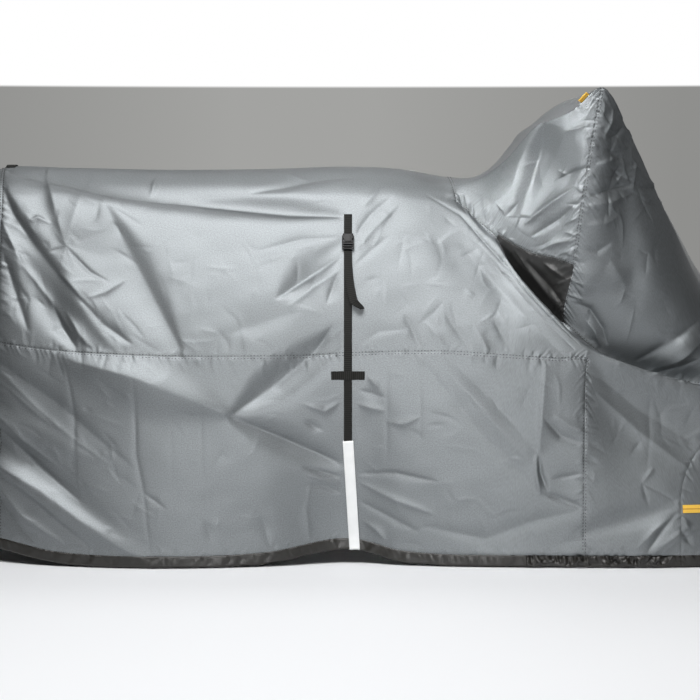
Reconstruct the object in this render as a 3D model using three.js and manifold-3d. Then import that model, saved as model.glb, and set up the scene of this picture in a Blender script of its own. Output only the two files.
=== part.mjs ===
// Motorcycle cover, as it hangs over a parked machine: coated cloth panels sewn into one hollow shell.
// Millimetres. +X points to the front wheel, +Y to the machine's left-hand side, +Z up.
// The origin lies on the floor, under the middle of the cover's length.
import * as THREE from 'three';
import { mergeVertices } from 'three/addons/utils/BufferGeometryUtils.js';
import Module from 'manifold-3d';

const wasm = await Module();
wasm.setup();

// Driving dimensions
const LENGTH = 2310;
const CLOTH = 1.6;
const BAND = 2;
const BAND_HEIGHT = 30;
const SEAM_GAP = 0.42;
const TOUCH = 0.3;
const SHOULDER = THREE.MathUtils.degToRad(70);
const ARCH = { along: 1988, up: 160, radius: 189 };
const WEB = { width: 20, thick: 1.6 };
const STRAP = { along: 980, top: 866, foot: 300, lift: 1, anchorLift: 0.9 };
const STRAP_TAIL = { foot: 640, lean: 20, lift: 3.7, flare: 1.5 };
const KEEPER = { up: 474, length: 83, height: 21 };
const TAPE = { width: 26, thick: 1.2, top: 312, foot: 36, lean: 17 };
const BUCKLE = { up: 797, width: 30, socket: 25, plug: 17, thick: 8, corner: 3, lift: 2.95 };
const LADDER = { bar: 3, slot: 3.6, play: 2 };
const FRONT_TAB = { along: 1803, up: 144, length: 70, height: 20, thick: 1.8 };
const MIRROR_TAG = { along: 1541, length: 36, height: 13, thick: 2.4, lift: 0.6 };
const TAG_RISE = [-0.45, -0.55, 0.75];
const TOP_LOOP = { along: 118, width: 25, length: 56, rise: 3.5, lift: 0.15 };

// Lengthwise lines of the shell, from the middle of the top down to the foot of the hem band.
const LINES = ['top', 'crest', 'face', 'lower', 'valley', 'ridge', 'waist', 'bandTop', 'bandFoot'];
const ROUNDED = ['crest', 'face', 'lower', 'valley'];

// Sections behind the hood, tail first: along from the tail at the top and low down, then [out, up].
const BODY = [
  { at: 'tail', along: 45, low: 2, top: 938, ridge: [0, 855], waist: [0, 562], hem: [0, 34] },
  { at: 'tail round', along: 62, low: 34, top: 964, ridge: [108, 874], waist: [160, 557], hem: [165, 34] },
  { at: 'rear seam', along: 98, low: 112, top: 985, ridge: [152, 892], waist: [250, 550], hem: [238, 32] },
  { at: 'seat rear', along: 270, low: 270, top: 985, ridge: [168, 897], waist: [292, 532], hem: [300, 6] },
  { at: 'seat', along: 520, low: 520, top: 980, ridge: [175, 893], waist: [320, 520], hem: [338, 1] },
  { at: 'seat front', along: 770, low: 770, top: 982, ridge: [176, 896], waist: [326, 520], hem: [310, 6] },
  { at: 'strap', along: 980, low: 980, top: 988, ridge: [175, 899], waist: [318, 527], hem: [252, 34] },
  { at: 'tank', along: 1110, low: 1110, top: 982, ridge: [175, 892], waist: [320, 531], hem: [285, 8] },
];

// Sections of the hood and the front wheel, each point [along, out, up].
const HOOD = [
  { at: 'hood seam', top: [1239, 0, 961], crest: [1244, 98, 943], face: [1247, 120, 929],
    lower: [1250, 133, 916], valley: [1253, 145, 900], ridge: [1262, 168, 872],
    waist: [1232, 323, 531], hem: [1232, 305, 1] },
  { at: 'hood rise', top: [1308, 0, 962], crest: [1312, 128, 957], face: [1310, 156, 912],
    lower: [1307, 170, 868], valley: [1305, 174, 848], ridge: [1314, 197, 820],
    waist: [1292, 323, 527], hem: [1290, 311, 1] },
  { at: 'gusset tip', top: [1365, 0, 995], crest: [1368, 170, 998], face: [1362, 206, 910],
    lower: [1354, 201, 819], valley: [1350, 197, 807], ridge: [1364, 226, 766],
    waist: [1350, 322, 523], hem: [1345, 316, 1] },
  { at: 'gusset middle', top: [1440, 0, 1080], crest: [1442, 270, 1084], face: [1440, 272, 910],
    lower: [1430, 242, 774], valley: [1404, 208, 694], ridge: [1414, 256, 706],
    waist: [1425, 321, 518], hem: [1420, 320, 1] },
  { at: 'gusset end', top: [1520, 0, 1147], crest: [1515, 353, 1114], face: [1500, 330, 922],
    lower: [1488, 282, 760], valley: [1472, 226, 612], ridge: [1483, 286, 628],
    waist: [1495, 317, 514], hem: [1490, 323, 1] },
  { at: 'mirror', top: [1590, 0, 1162], crest: [1588, 400, 1171], face: [1556, 383, 972],
    lower: [1530, 322, 744], valley: [1515, 258, 598], ridge: [1575, 308, 536],
    waist: [1567, 314, 512], hem: [1560, 326, 1] },
  { at: 'screen', top: [1690, 0, 1045], crest: [1680, 326, 1028], face: [1660, 342, 865],
    lower: [1645, 306, 670], valley: [1640, 246, 500], ridge: [1652, 303, 511],
    waist: [1650, 302, 410], hem: [1650, 328, 1] },
  { at: 'headlight', top: [1795, 0, 855], crest: [1780, 243, 838], face: [1770, 285, 700],
    lower: [1765, 268, 570], valley: [1760, 222, 462], ridge: [1765, 286, 475],
    waist: [1765, 288, 370], hem: [1765, 325, 1] },
  { at: 'wheel', top: [1950, 0, 640], crest: [1930, 128, 612], face: [1922, 198, 560],
    lower: [1920, 220, 498], valley: [1920, 218, 442], ridge: [1920, 254, 428],
    waist: [1920, 264, 335], hem: [1920, 300, 1] },
  { at: 'fender', top: [2140, 0, 545], crest: [2135, 78, 530], face: [2130, 124, 492],
    lower: [2130, 152, 458], valley: [2130, 172, 430], ridge: [2130, 192, 404],
    waist: [2130, 212, 305], hem: [2130, 225, 2] },
  { at: 'nose', top: [2270, 0, 430], ridge: [2297, 0, 360], waist: [2307, 0, 270], hem: [2310, 0, 4] },
];

// Facets between two neighbouring sections, and between two neighbouring lines.
const ALONG_STEPS = [2, 3, 3, 4, 4, 4, 3, 3, 2, 2, 2, 2, 2, 3, 3, 4, 3, 3];
const DOWN_STEPS = [2, 2, 2, 2, 1, 6, 8, 1];

// Main folds: a soft trough (deep < 0) or ridge from one end to the other, seen from the side.
const FOLDS_RIGHT = [
  { name: 'long sag under the seat', from: [200, 962], to: [965, 863], half: 40, deep: -18 },
  { name: 'seat to waist', from: [370, 912], to: [577, 544], half: 36, deep: -18 },
  { name: 'tail fan ridge', from: [130, 927], to: [398, 548], half: 40, deep: 14 },
  { name: 'tail fan trough', from: [160, 778], to: [312, 535], half: 34, deep: -18 },
  { name: 'strap fan, upper', from: [973, 804], to: [812, 670], half: 32, deep: -14 },
  { name: 'strap fan, middle', from: [968, 590], to: [703, 380], half: 38, deep: -22 },
  { name: 'strap fan, lower', from: [691, 375], to: [970, 250], half: 34, deep: -13 },
  { name: 'bright shelf', from: [275, 512], to: [686, 384], half: 50, deep: 18 },
  { name: 'tail foot ridge', from: [128, 262], to: [495, 42], half: 42, deep: 18 },
  { name: 'tail foot trough', from: [128, 325], to: [420, 115], half: 38, deep: -17 },
  { name: 'tail side ridge', from: [128, 360], to: [372, 268], half: 34, deep: 11 },
  { name: 'tank to corner', from: [1181, 815], to: [1524, 567], half: 36, deep: -12 },
  { name: 'fork trough', from: [1590, 477], to: [1842, 307], half: 44, deep: -20 },
  { name: 'tab trough', from: [1791, 164], to: [1548, 84], half: 36, deep: -16 },
  { name: 'hood dent', from: [1450, 1025], to: [1400, 871], half: 32, deep: -20 },
  { name: 'screen trough', from: [1630, 1020], to: [1685, 640], half: 42, deep: -15 },
  { name: 'screen flap', from: [1745, 492], to: [1850, 560], half: 32, deep: 15 },
];
const FOLDS_LEFT = [
  { name: 'long sag under the seat', from: [260, 955], to: [1080, 880], half: 44, deep: -18 },
  { name: 'tail fan ridge', from: [140, 915], to: [460, 560], half: 42, deep: 15 },
  { name: 'tail fan trough', from: [150, 740], to: [350, 520], half: 36, deep: -18 },
  { name: 'seat to foot', from: [620, 880], to: [790, 300], half: 44, deep: -19 },
  { name: 'side shelf', from: [420, 470], to: [980, 360], half: 50, deep: 16 },
  { name: 'tank to corner', from: [1150, 830], to: [1520, 570], half: 38, deep: -14 },
  { name: 'tail foot ridge', from: [130, 240], to: [560, 50], half: 44, deep: 16 },
  { name: 'middle foot trough', from: [860, 330], to: [1180, 60], half: 42, deep: -18 },
  { name: 'fork trough', from: [1600, 470], to: [1880, 260], half: 44, deep: -18 },
  { name: 'hood dent', from: [1470, 1000], to: [1410, 860], half: 34, deep: -18 },
  { name: 'screen trough', from: [1620, 1000], to: [1700, 620], half: 44, deep: -15 },
];
const FOLD_FREE = 110;
const FOLD_END = 0.35;

// How sharply the cloth is creased along the crest, from the hood seam over the mirrors to the wheel.
const CREASE = { 'hood rise': 0.5, 'gusset tip': 1, mirror: 1, headlight: 0.6 };

const colours = {
  shell: { color: 0x8d9293, roughness: 0.42, metalness: 0.25 },
  gusset: { color: 0x1b1c1c, roughness: 0.6, metalness: 0 },
  band: { color: 0x23221f, roughness: 0.5, metalness: 0 },
  webbing: { color: 0x1c1c1a, roughness: 0.8, metalness: 0 },
  plastic: { color: 0x161616, roughness: 0.45, metalness: 0 },
  reflective: { color: 0xe8eaea, roughness: 0.35, metalness: 0 },
  yellow: { color: 0xe6b13e, roughness: 0.7, metalness: 0 },
};

const cover = new THREE.Group();

function addPiece(name, geometry, finish) {
  const mesh = new THREE.Mesh(geometry, new THREE.MeshStandardMaterial(colours[finish]));
  mesh.name = name;
  cover.add(mesh);
  return mesh;
}

// A place on the right-hand half, from its distance along, out from the middle and up.
function place(along, out, up) {
  return new THREE.Vector3(along - LENGTH / 2, -out, up);
}

function acrossMiddle(point) {
  return new THREE.Vector3(point.x, -point.y, point.z);
}

// Points between the top and the ridge on a rounded shoulder: level at the top, steep at the ridge.
function roundShoulder(top, ridge) {
  return ROUNDED.map((name, k) => {
    const turn = (SHOULDER * (k + 1)) / (ROUNDED.length + 1);
    const level = Math.sin(turn) / Math.sin(SHOULDER);
    const drop = (1 - Math.cos(turn)) / (1 - Math.cos(SHOULDER));
    const x = THREE.MathUtils.lerp(top.x, ridge.x, level);
    const y = THREE.MathUtils.lerp(top.y, ridge.y, level);
    return new THREE.Vector3(x, y, THREE.MathUtils.lerp(top.z, ridge.z, drop));
  });
}

function withBand(points, hem) {
  const bandTop = hem.clone();
  bandTop.z += BAND_HEIGHT;
  return [...points, bandTop, hem];
}

function bodySection(row) {
  const top = place(row.along, 0, row.top);
  const ridge = place(row.low, ...row.ridge);
  const waist = place(row.low, ...row.waist);
  return withBand([top, ...roundShoulder(top, ridge), ridge, waist], place(row.low, ...row.hem));
}

function hoodSection(row) {
  const top = place(...row.top);
  const ridge = place(...row.ridge);
  const between = row.crest ? ROUNDED.map((name) => place(...row[name])) : roundShoulder(top, ridge);
  return withBand([top, ...between, ridge, place(...row.waist)], place(...row.hem));
}

const sections = [...BODY.map(bodySection), ...HOOD.map(hoodSection)];
const names = [...BODY, ...HOOD].map((row) => row.at);
const lastSection = sections.length - 1;

function smoothCurve(points) {
  return new THREE.CatmullRomCurve3(points, false, 'centripetal');
}

// One curve along each line; its ends run on to the other half, so that tail and nose are round.
const lineCurves = LINES.map((name, k) => {
  const points = sections.map((section) => section[k]);
  return smoothCurve([acrossMiddle(points[1]), ...points, acrossMiddle(points[lastSection - 1])]);
});

// Share of the crease at a place along: straight from one stop of the table to the next.
const creaseStops = [
  [names.indexOf('hood seam'), 0],
  ...Object.entries(CREASE).map(([name, share]) => [names.indexOf(name), share]),
  [names.indexOf('wheel'), 0],
];

function creaseShare(u) {
  const next = creaseStops.findIndex(([stop]) => stop > u);
  if (next < 1) {
    return 0;
  }
  const [from, a] = creaseStops[next - 1];
  const [to, b] = creaseStops[next];
  return THREE.MathUtils.mapLinear(u, from, to, a, b);
}

// Section across the shell: one smooth curve, and the same points with a crease along the crest.
function sectionCurve(u) {
  const points = lineCurves.map((curve) => curve.getPoint((u + 1) / (lastSection + 2)));
  return {
    smooth: smoothCurve([acrossMiddle(points[1]), ...points]),
    roof: smoothCurve([acrossMiddle(points[1]), points[0], points[1]]),
    flank: smoothCurve(points.slice(1)),
    crease: creaseShare(u),
  };
}

function formPoint({ smooth, roof, flank, crease }, v) {
  const creased = v <= 1 ? roof.getPoint((v + 1) / 2) : flank.getPoint((v - 1) / (LINES.length - 2));
  return smooth.getPoint((v + 1) / LINES.length).lerp(creased, crease);
}

// Height of all folds at a place seen from the side: bell-shaped across, tapered to both ends.
function foldHeight(folds, along, up) {
  let height = 0;
  for (const fold of folds) {
    const [x0, z0] = fold.from;
    const dx = fold.to[0] - x0;
    const dz = fold.to[1] - z0;
    const run = ((along - x0) * dx + (up - z0) * dz) / (dx * dx + dz * dz);
    const share = THREE.MathUtils.clamp(run, 0, 1);
    const off = Math.hypot(along - x0 - share * dx, up - z0 - share * dz) / fold.half;
    const taper = FOLD_END + (1 - FOLD_END) * Math.sin(Math.PI * share);
    height += fold.deep * taper * Math.exp(-off * off);
  }
  return height;
}

// Grid positions between the sections or lines: whole numbers fall on a section or a line.
function gridSteps(steps) {
  const values = [0];
  steps.forEach((count, k) => {
    for (let n = 1; n <= count; n += 1) {
      values.push(k + n / count);
    }
  });
  return values;
}

const uGrid = gridSteps(ALONG_STEPS);
const vGrid = gridSteps(DOWN_STEPS);
const column = (name) => uGrid.indexOf(names.indexOf(name));
const row = (name) => vGrid.indexOf(LINES.indexOf(name));
const lastColumn = uGrid.length - 1;
const lastRow = vGrid.length - 1;

// Cloth surface of the right-hand half, with the folds of one side raised along the form's normal.
function clothGrid(folds) {
  const nudge = 0.02;
  return uGrid.map((u) => {
    const here = sectionCurve(u);
    const before = sectionCurve(Math.max(0, u - nudge));
    const after = sectionCurve(Math.min(lastSection, u + nudge));
    return vGrid.map((v) => {
      const point = formPoint(here, v);
      const alongWay = formPoint(after, v).sub(formPoint(before, v));
      const downWay = formPoint(here, Math.min(LINES.length - 1, v + nudge));
      downWay.sub(formPoint(here, Math.max(0, v - nudge)));
      const normal = downWay.cross(alongWay).normalize();
      const free = THREE.MathUtils.smoothstep(-point.y, 0, FOLD_FREE);
      const height = free * foldHeight(folds, point.x + LENGTH / 2, point.z);
      return point.addScaledVector(normal, height);
    });
  });
}

const rightGrid = clothGrid(FOLDS_RIGHT);
const leftGrid = clothGrid(FOLDS_LEFT).map((col) => col.map(acrossMiddle));

// Both halves share the points of the middle: the top line, the tail and the nose.
function gridKey(side, i, j) {
  const shared = j === 0 || i === 0 || i === lastColumn;
  return `${shared ? 'middle' : side} ${i} ${j}`;
}

function gridPoint(side, i, j) {
  const shared = j === 0 || i === 0 || i === lastColumn;
  if (shared) {
    return rightGrid[i][j].clone().setY(0);
  }
  return (side === 'right' ? rightGrid : leftGrid)[i][j];
}

// The four corners of a cell, counter-clockwise from outside.
function cellCorners({ side, i, j }) {
  const corners = [[i, j], [i, j + 1], [i + 1, j + 1], [i + 1, j]];
  return side === 'right' ? corners : corners.reverse();
}

// Cells between two sections and two lines, on the sides named.
function cells(sides, [fromColumn, toColumn], [fromRow, toRow]) {
  const list = [];
  for (const side of sides) {
    for (let i = column(fromColumn); i < column(toColumn); i += 1) {
      for (let j = row(fromRow); j < row(toRow); j += 1) {
        list.push({ side, i, j });
      }
    }
  }
  return list;
}

// Normals of the whole shell, so that neighbouring panels get parallel edges.
const normals = new Map();
for (const cell of cells(['right', 'left'], ['tail', 'nose'], ['top', 'bandFoot'])) {
  const corners = cellCorners(cell).map(([i, j]) => gridPoint(cell.side, i, j));
  const first = corners[2].clone().sub(corners[0]);
  const face = first.cross(corners[3].clone().sub(corners[1]));
  for (const [i, j] of cellCorners(cell)) {
    const key = gridKey(cell.side, i, j);
    normals.set(key, (normals.get(key) ?? new THREE.Vector3()).add(face));
  }
}
normals.forEach((normal) => normal.normalize());

// Indexed triangles as a geometry of positions only.
function triangles(positions, index) {
  const geometry = new THREE.BufferGeometry();
  geometry.setAttribute('position', new THREE.Float32BufferAttribute(positions, 3));
  geometry.setIndex(index);
  return geometry;
}

// A closed sheet over a set of cells: outer face, inner face one thickness below it, and edge walls.
function clothPanel(list, thick) {
  const points = new Map();
  const cellSides = new Set();
  for (const cell of list) {
    const corners = cellCorners(cell);
    const centre = new THREE.Vector3();
    corners.forEach(([i, j]) => centre.addScaledVector(gridPoint(cell.side, i, j), 0.25));
    const keys = corners.map(([i, j]) => gridKey(cell.side, i, j));
    corners.forEach(([i, j], n) => {
      const entry = points.get(keys[n]) ?? { at: gridPoint(cell.side, i, j), pull: new THREE.Vector3(), j };
      entry.pull.add(centre.clone().sub(entry.at).normalize());
      points.set(keys[n], entry);
      cellSides.add(`${keys[n]}>${keys[(n + 1) % 4]}`);
    });
    cell.keys = keys;
  }
  const edges = [...cellSides].filter((side) => !cellSides.has(side.split('>').reverse().join('>')));
  const onEdge = new Set(edges.flatMap((side) => side.split('>')));
  const positions = [];
  const number = new Map();
  for (const [key, { at, pull, j }] of points) {
    const normal = normals.get(key);
    const shift = onEdge.has(key) ? pull.projectOnPlane(normal).normalize() : new THREE.Vector3();
    if (j === lastRow) {
      shift.z = 0;
    }
    const outer = at.clone().addScaledVector(shift, SEAM_GAP / 2);
    const inner = outer.clone().addScaledVector(normal, -thick);
    number.set(key, positions.length / 3);
    positions.push(...outer.toArray(), ...inner.toArray());
  }
  const index = [];
  for (const { keys } of list) {
    const [a, b, c, d] = keys.map((key) => number.get(key));
    index.push(a, b, c, a, c, d, a + 1, c + 1, b + 1, a + 1, d + 1, c + 1);
  }
  for (const side of edges) {
    const [from, to] = side.split('>');
    const a = number.get(from);
    const b = number.get(to);
    const wall = from < to ? [b, a, b + 1, a, a + 1, b + 1] : [b, a, a + 1, b, a + 1, b + 1];
    index.push(...wall);
  }
  return triangles(positions, index);
}

function solid(geometry) {
  const bare = geometry.clone();
  bare.deleteAttribute('normal');
  bare.deleteAttribute('uv');
  const merged = mergeVertices(bare, 1e-4);
  const mesh = new wasm.Mesh({
    numProp: 3,
    vertProperties: new Float32Array(merged.attributes.position.array),
    triVerts: new Uint32Array(merged.index.array),
  });
  return new wasm.Manifold(mesh);
}

function geometryOf(manifold) {
  const mesh = manifold.getMesh();
  return triangles(Array.from(mesh.vertProperties), Array.from(mesh.triVerts));
}

// Panels that run over the top from one side to the other.
const both = ['right', 'left'];
addPiece('tail_panel', clothPanel(cells(both, ['tail', 'rear seam'], ['top', 'bandTop']), CLOTH), 'shell');
const saddleCells = [
  ...cells(both, ['rear seam', 'hood seam'], ['top', 'waist']),
  ...cells(both, ['hood seam', 'mirror'], ['valley', 'waist']),
];
addPiece('saddle_panel', clothPanel(saddleCells, CLOTH), 'shell');
addPiece('hood_back', clothPanel(cells(both, ['hood seam', 'mirror'], ['top', 'crest']), CLOTH), 'shell');
addPiece('hood_front', clothPanel(cells(both, ['mirror', 'nose'], ['top', 'valley']), CLOTH), 'shell');

// The arch over the front wheel: straight legs down past the hem, a half round above them.
function archPrism(radius, side) {
  const reach = 500;
  const shape = new THREE.Shape();
  shape.moveTo(radius, -ARCH.up - BAND_HEIGHT);
  shape.lineTo(radius, 0);
  shape.absarc(0, 0, radius, 0, Math.PI, false);
  shape.lineTo(-radius, -ARCH.up - BAND_HEIGHT);
  const geometry = new THREE.ExtrudeGeometry(shape, { depth: reach, bevelEnabled: false, curveSegments: 12 });
  geometry.rotateX(Math.PI / 2);
  geometry.translate(ARCH.along - LENGTH / 2, side === 'left' ? reach : 0, ARCH.up);
  return solid(geometry);
}

// Pieces that are cut once for each side.
for (const side of both) {
  const flank = [
    ...cells([side], ['hood seam', 'mirror'], ['crest', 'lower']),
    ...cells([side], ['hood seam', 'gusset tip'], ['lower', 'valley']),
  ];
  addPiece(`hood_flank_${side}`, clothPanel(flank, CLOTH), 'shell');
  const gusset = cells([side], ['gusset tip', 'mirror'], ['lower', 'valley']);
  addPiece(`gusset_${side}`, clothPanel(gusset, CLOTH), 'gusset');
  const skirt = cells([side], ['rear seam', 'mirror'], ['waist', 'bandTop']);
  addPiece(`side_panel_${side}`, clothPanel(skirt, CLOTH), 'shell');
  const front = solid(clothPanel(cells([side], ['mirror', 'nose'], ['valley', 'bandTop']), CLOTH));
  const opening = archPrism(ARCH.radius + SEAM_GAP / 2, side);
  const patch = archPrism(ARCH.radius - SEAM_GAP / 2, side);
  addPiece(`fork_panel_${side}`, geometryOf(front.subtract(opening)), 'shell');
  addPiece(`wheel_patch_${side}`, geometryOf(front.intersect(patch)), 'shell');
  const band = cells([side], ['tail', 'gusset middle'], ['bandTop', 'bandFoot']);
  addPiece(`hem_band_${side}`, clothPanel(band, BAND), 'band');
}
const frontBand = cells(both, ['gusset middle', 'nose'], ['bandTop', 'bandFoot']);
addPiece('hem_band_front', clothPanel(frontBand, BAND), 'band');

// The place and the outward direction on the right-hand cloth at a distance along and a height.
function onCloth(along, up) {
  const x = along - LENGTH / 2;
  const crossing = (i) => {
    const col = rightGrid[i];
    let j = row('valley');
    while (j < lastRow - 1 && col[j + 1].z > up) {
      j += 1;
    }
    const share = (up - col[j].z) / (col[j + 1].z - col[j].z);
    return { at: col[j].clone().lerp(col[j + 1], share), down: col[j + 1].clone().sub(col[j]) };
  };
  let i = column('rear seam');
  while (crossing(i + 1).at.x < x) {
    i += 1;
  }
  const a = crossing(i);
  const b = crossing(i + 1);
  const across = b.at.clone().sub(a.at);
  const at = a.at.lerp(b.at, (x - a.at.x) / across.x);
  const down = a.down.normalize().lerp(b.down.normalize(), 0.5);
  return { at, normal: down.cross(across).normalize() };
}

// A flat band along a path of places: each has its middle, its outward normal and its lift off the cloth.
function bandAlong(path, across, width, thick) {
  const positions = [];
  const index = [];
  path.forEach(({ at, normal, lift }) => {
    for (const height of [lift, lift + thick]) {
      for (const half of [-width / 2, width / 2]) {
        const sideWay = across.clone().projectOnPlane(normal).normalize();
        const corner = at.clone().addScaledVector(normal, height).addScaledVector(sideWay, half);
        positions.push(...corner.toArray());
      }
    }
  });
  const ring = [0, 1, 3, 2];
  for (let n = 0; n < path.length - 1; n += 1) {
    ring.forEach((corner, k) => {
      const a = 4 * n + corner;
      const b = 4 * n + ring[(k + 1) % 4];
      index.push(a, b, b + 4, a, b + 4, a + 4);
    });
  }
  const end = 4 * (path.length - 1);
  index.push(0, 3, 1, 0, 2, 3, end, end + 1, end + 3, end, end + 3, end + 2);
  const geometry = triangles(positions, index);
  const filled = solid(geometry);
  return filled.volume() > 0 ? geometry : triangles(positions, index.reverse());
}

const levelWay = new THREE.Vector3(1, 0, 0);

// How far the cloth stands out round a place, within a reach along and a reach up and down.
function standOut(along, up, reachAlong, reachUp) {
  const { at, normal } = onCloth(along, up);
  let most = 0;
  for (const a of [-1, -0.5, 0, 0.5, 1]) {
    for (const b of [-1, 0, 1]) {
      const beside = onCloth(along + a * reachAlong, up + b * reachUp).at;
      most = Math.max(most, beside.sub(at).dot(normal));
    }
  }
  return most;
}

// Heights down the strap at which its path bends with the cloth: its two ends and the rows between.
function strapHeights(fromUp, toUp) {
  const apart = 4;
  const bends = rightGrid[column('strap')].map((point) => point.z);
  return [fromUp, ...bends.filter((z) => z < fromUp - apart && z > toUp + apart), toUp];
}

function strapPath(fromUp, toUp, halfWidth, lift, lean = 0) {
  const reachUp = 2;
  return strapHeights(fromUp, toUp).map((up) => {
    const along = STRAP.along + (lean * (fromUp - up)) / (fromUp - toUp);
    const { at, normal } = onCloth(along, up);
    return { at, normal, lift: lift + standOut(along, up, halfWidth, reachUp) };
  });
}

// The strap on the right-hand side: anchor loop, buckle in two halves, running web, loose end and keeper.
const halfWeb = WEB.width / 2;
const halfBuckle = (BUCKLE.socket + TOUCH + BUCKLE.plug) / 2;
const anchorFoot = BUCKLE.up + halfBuckle - BUCKLE.socket / 2;
const anchorPath = strapPath(STRAP.top, anchorFoot, halfWeb, STRAP.anchorLift);
addPiece('strap_anchor', bandAlong(anchorPath, levelWay, WEB.width, WEB.thick), 'webbing');
const webTop = BUCKLE.up - halfBuckle + BUCKLE.plug - LADDER.bar;
const webPath = strapPath(webTop, STRAP.foot, halfWeb, STRAP.lift);
addPiece('strap_web', bandAlong(webPath, levelWay, WEB.width, WEB.thick), 'webbing');

// Both halves of the buckle lie in one plane on the webbing.
function buckleFrame() {
  const { at, normal } = onCloth(STRAP.along, BUCKLE.up);
  const upward = normal.clone().cross(levelWay).normalize();
  const sideways = upward.clone().cross(normal).normalize();
  const lift = BUCKLE.lift + standOut(STRAP.along, BUCKLE.up, BUCKLE.width / 2, halfBuckle);
  const frame = new THREE.Matrix4().makeBasis(sideways, upward, normal);
  return frame.setPosition(at.addScaledVector(normal, lift));
}

function roundedPlate(width, height) {
  const r = BUCKLE.corner;
  const x = width / 2;
  const y = height / 2;
  const shape = new THREE.Shape();
  shape.moveTo(-x + r, -y);
  shape.lineTo(x - r, -y);
  shape.absarc(x - r, -y + r, r, -Math.PI / 2, 0, false);
  shape.lineTo(x, y - r);
  shape.absarc(x - r, y - r, r, 0, Math.PI / 2, false);
  shape.lineTo(-x + r, y);
  shape.absarc(-x + r, y - r, r, Math.PI / 2, Math.PI, false);
  shape.lineTo(-x, -y + r);
  shape.absarc(-x + r, -y + r, r, Math.PI, 1.5 * Math.PI, false);
  return shape;
}

function slot(width, height, centreY) {
  const path = new THREE.Path();
  path.moveTo(-width / 2, centreY - height / 2);
  path.lineTo(-width / 2, centreY + height / 2);
  path.lineTo(width / 2, centreY + height / 2);
  path.lineTo(width / 2, centreY - height / 2);
  path.closePath();
  return path;
}

function buckleHalf(name, height, centre, slots) {
  const plate = roundedPlate(BUCKLE.width, height);
  slots.forEach((centreY) => plate.holes.push(slot(WEB.width + LADDER.play, LADDER.slot, centreY)));
  const geometry = new THREE.ExtrudeGeometry(plate, {
    depth: BUCKLE.thick, bevelEnabled: false, curveSegments: 4,
  });
  geometry.translate(0, centre, 0);
  geometry.applyMatrix4(buckleFrame());
  addPiece(name, geometry, 'plastic');
}

const pitch = LADDER.slot + LADDER.bar;
const socketSlot = BUCKLE.socket / 2 - LADDER.bar - LADDER.slot / 2;
buckleHalf('buckle_socket', BUCKLE.socket, halfBuckle - BUCKLE.socket / 2, [socketSlot]);
buckleHalf('buckle_plug', BUCKLE.plug, BUCKLE.plug / 2 - halfBuckle, [-pitch / 2, pitch / 2]);

// The loose end comes out below the plug and hangs a little away from the running web.
const tailTop = BUCKLE.up - halfBuckle - TOUCH;
const tailPath = strapPath(tailTop, STRAP_TAIL.foot, halfWeb, STRAP_TAIL.lift, STRAP_TAIL.lean);
tailPath.forEach((stop, n) => {
  stop.lift += STRAP_TAIL.flare * n;
});
addPiece('strap_tail', bandAlong(tailPath, levelWay, WEB.width, WEB.thick), 'webbing');

// The keeper lies across the running web and is sewn down at both ends.
const keeperStops = [-0.5, -0.16, 0.16, 0.5].map((share) => share * KEEPER.length);
const keeperPath = keeperStops.map((shift) => {
  const { at, normal } = onCloth(STRAP.along + shift, KEEPER.up);
  const over = Math.abs(shift) < KEEPER.length / 3;
  const rise = over ? 2 * TOUCH + WEB.thick + standOut(STRAP.along, KEEPER.up, halfWeb, 2) : 0;
  const bulge = standOut(STRAP.along + shift, KEEPER.up, KEEPER.length / 10, KEEPER.height / 2);
  return { at, normal, lift: STRAP.lift + rise + bulge };
});
const upWay = new THREE.Vector3(0, 0, 1);
addPiece('strap_keeper', bandAlong(keeperPath, upWay, KEEPER.height, WEB.thick), 'webbing');

// White reflective tape over the end of the web, stitched down along both edges.
const tapeLift = STRAP.lift + WEB.thick + TOUCH;
const tapePath = strapPath(TAPE.top, TAPE.foot, TAPE.width / 2, tapeLift, TAPE.lean);
addPiece('reflective_strip', bandAlong(tapePath, levelWay, TAPE.width, TAPE.thick), 'reflective');

// Folded tab on the wheel patch, sewn into the patch seam at its rear end.
const tabStops = [0, 0.33, 0.67, 1].map((share) => FRONT_TAB.along + share * FRONT_TAB.length);
const tabPath = tabStops.map((along) => {
  const bulge = standOut(along, FRONT_TAB.up, FRONT_TAB.length / 6, FRONT_TAB.height / 2);
  return { ...onCloth(along, FRONT_TAB.up), lift: STRAP.lift + bulge };
});
addPiece('front_tab', bandAlong(tabPath, upWay, FRONT_TAB.height, FRONT_TAB.thick), 'yellow');

// Folded tag that stands out of the hood seam just behind the mirror's tip.
function mirrorTag() {
  const curve = lineCurves[LINES.indexOf('crest')];
  const share = (u) => (u + 1) / (lastSection + 2);
  const from = names.indexOf('gusset end');
  const x = MIRROR_TAG.along - LENGTH / 2;
  const start = curve.getPoint(share(from));
  const stop = curve.getPoint(share(from + 1));
  const at = share(from + (x - start.x) / (stop.x - start.x));
  const along = curve.getTangent(at);
  const rise = new THREE.Vector3(...TAG_RISE).projectOnPlane(along).normalize();
  const shape = new THREE.Shape();
  const t = MIRROR_TAG.thick / 2;
  shape.moveTo(-t, 0);
  shape.lineTo(t, 0);
  shape.lineTo(t, MIRROR_TAG.height - t);
  shape.absarc(0, MIRROR_TAG.height - t, t, 0, Math.PI, false);
  const geometry = new THREE.ExtrudeGeometry(shape, {
    depth: MIRROR_TAG.length, bevelEnabled: false, curveSegments: 6,
  });
  geometry.translate(0, 0, -MIRROR_TAG.length / 2);
  const basis = new THREE.Matrix4().makeBasis(rise.clone().cross(along).normalize(), rise, along);
  const seatAt = curve.getPoint(at).addScaledVector(rise, MIRROR_TAG.lift);
  return geometry.applyMatrix4(basis.setPosition(seatAt));
}
addPiece('mirror_tag', mirrorTag(), 'yellow');

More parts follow.
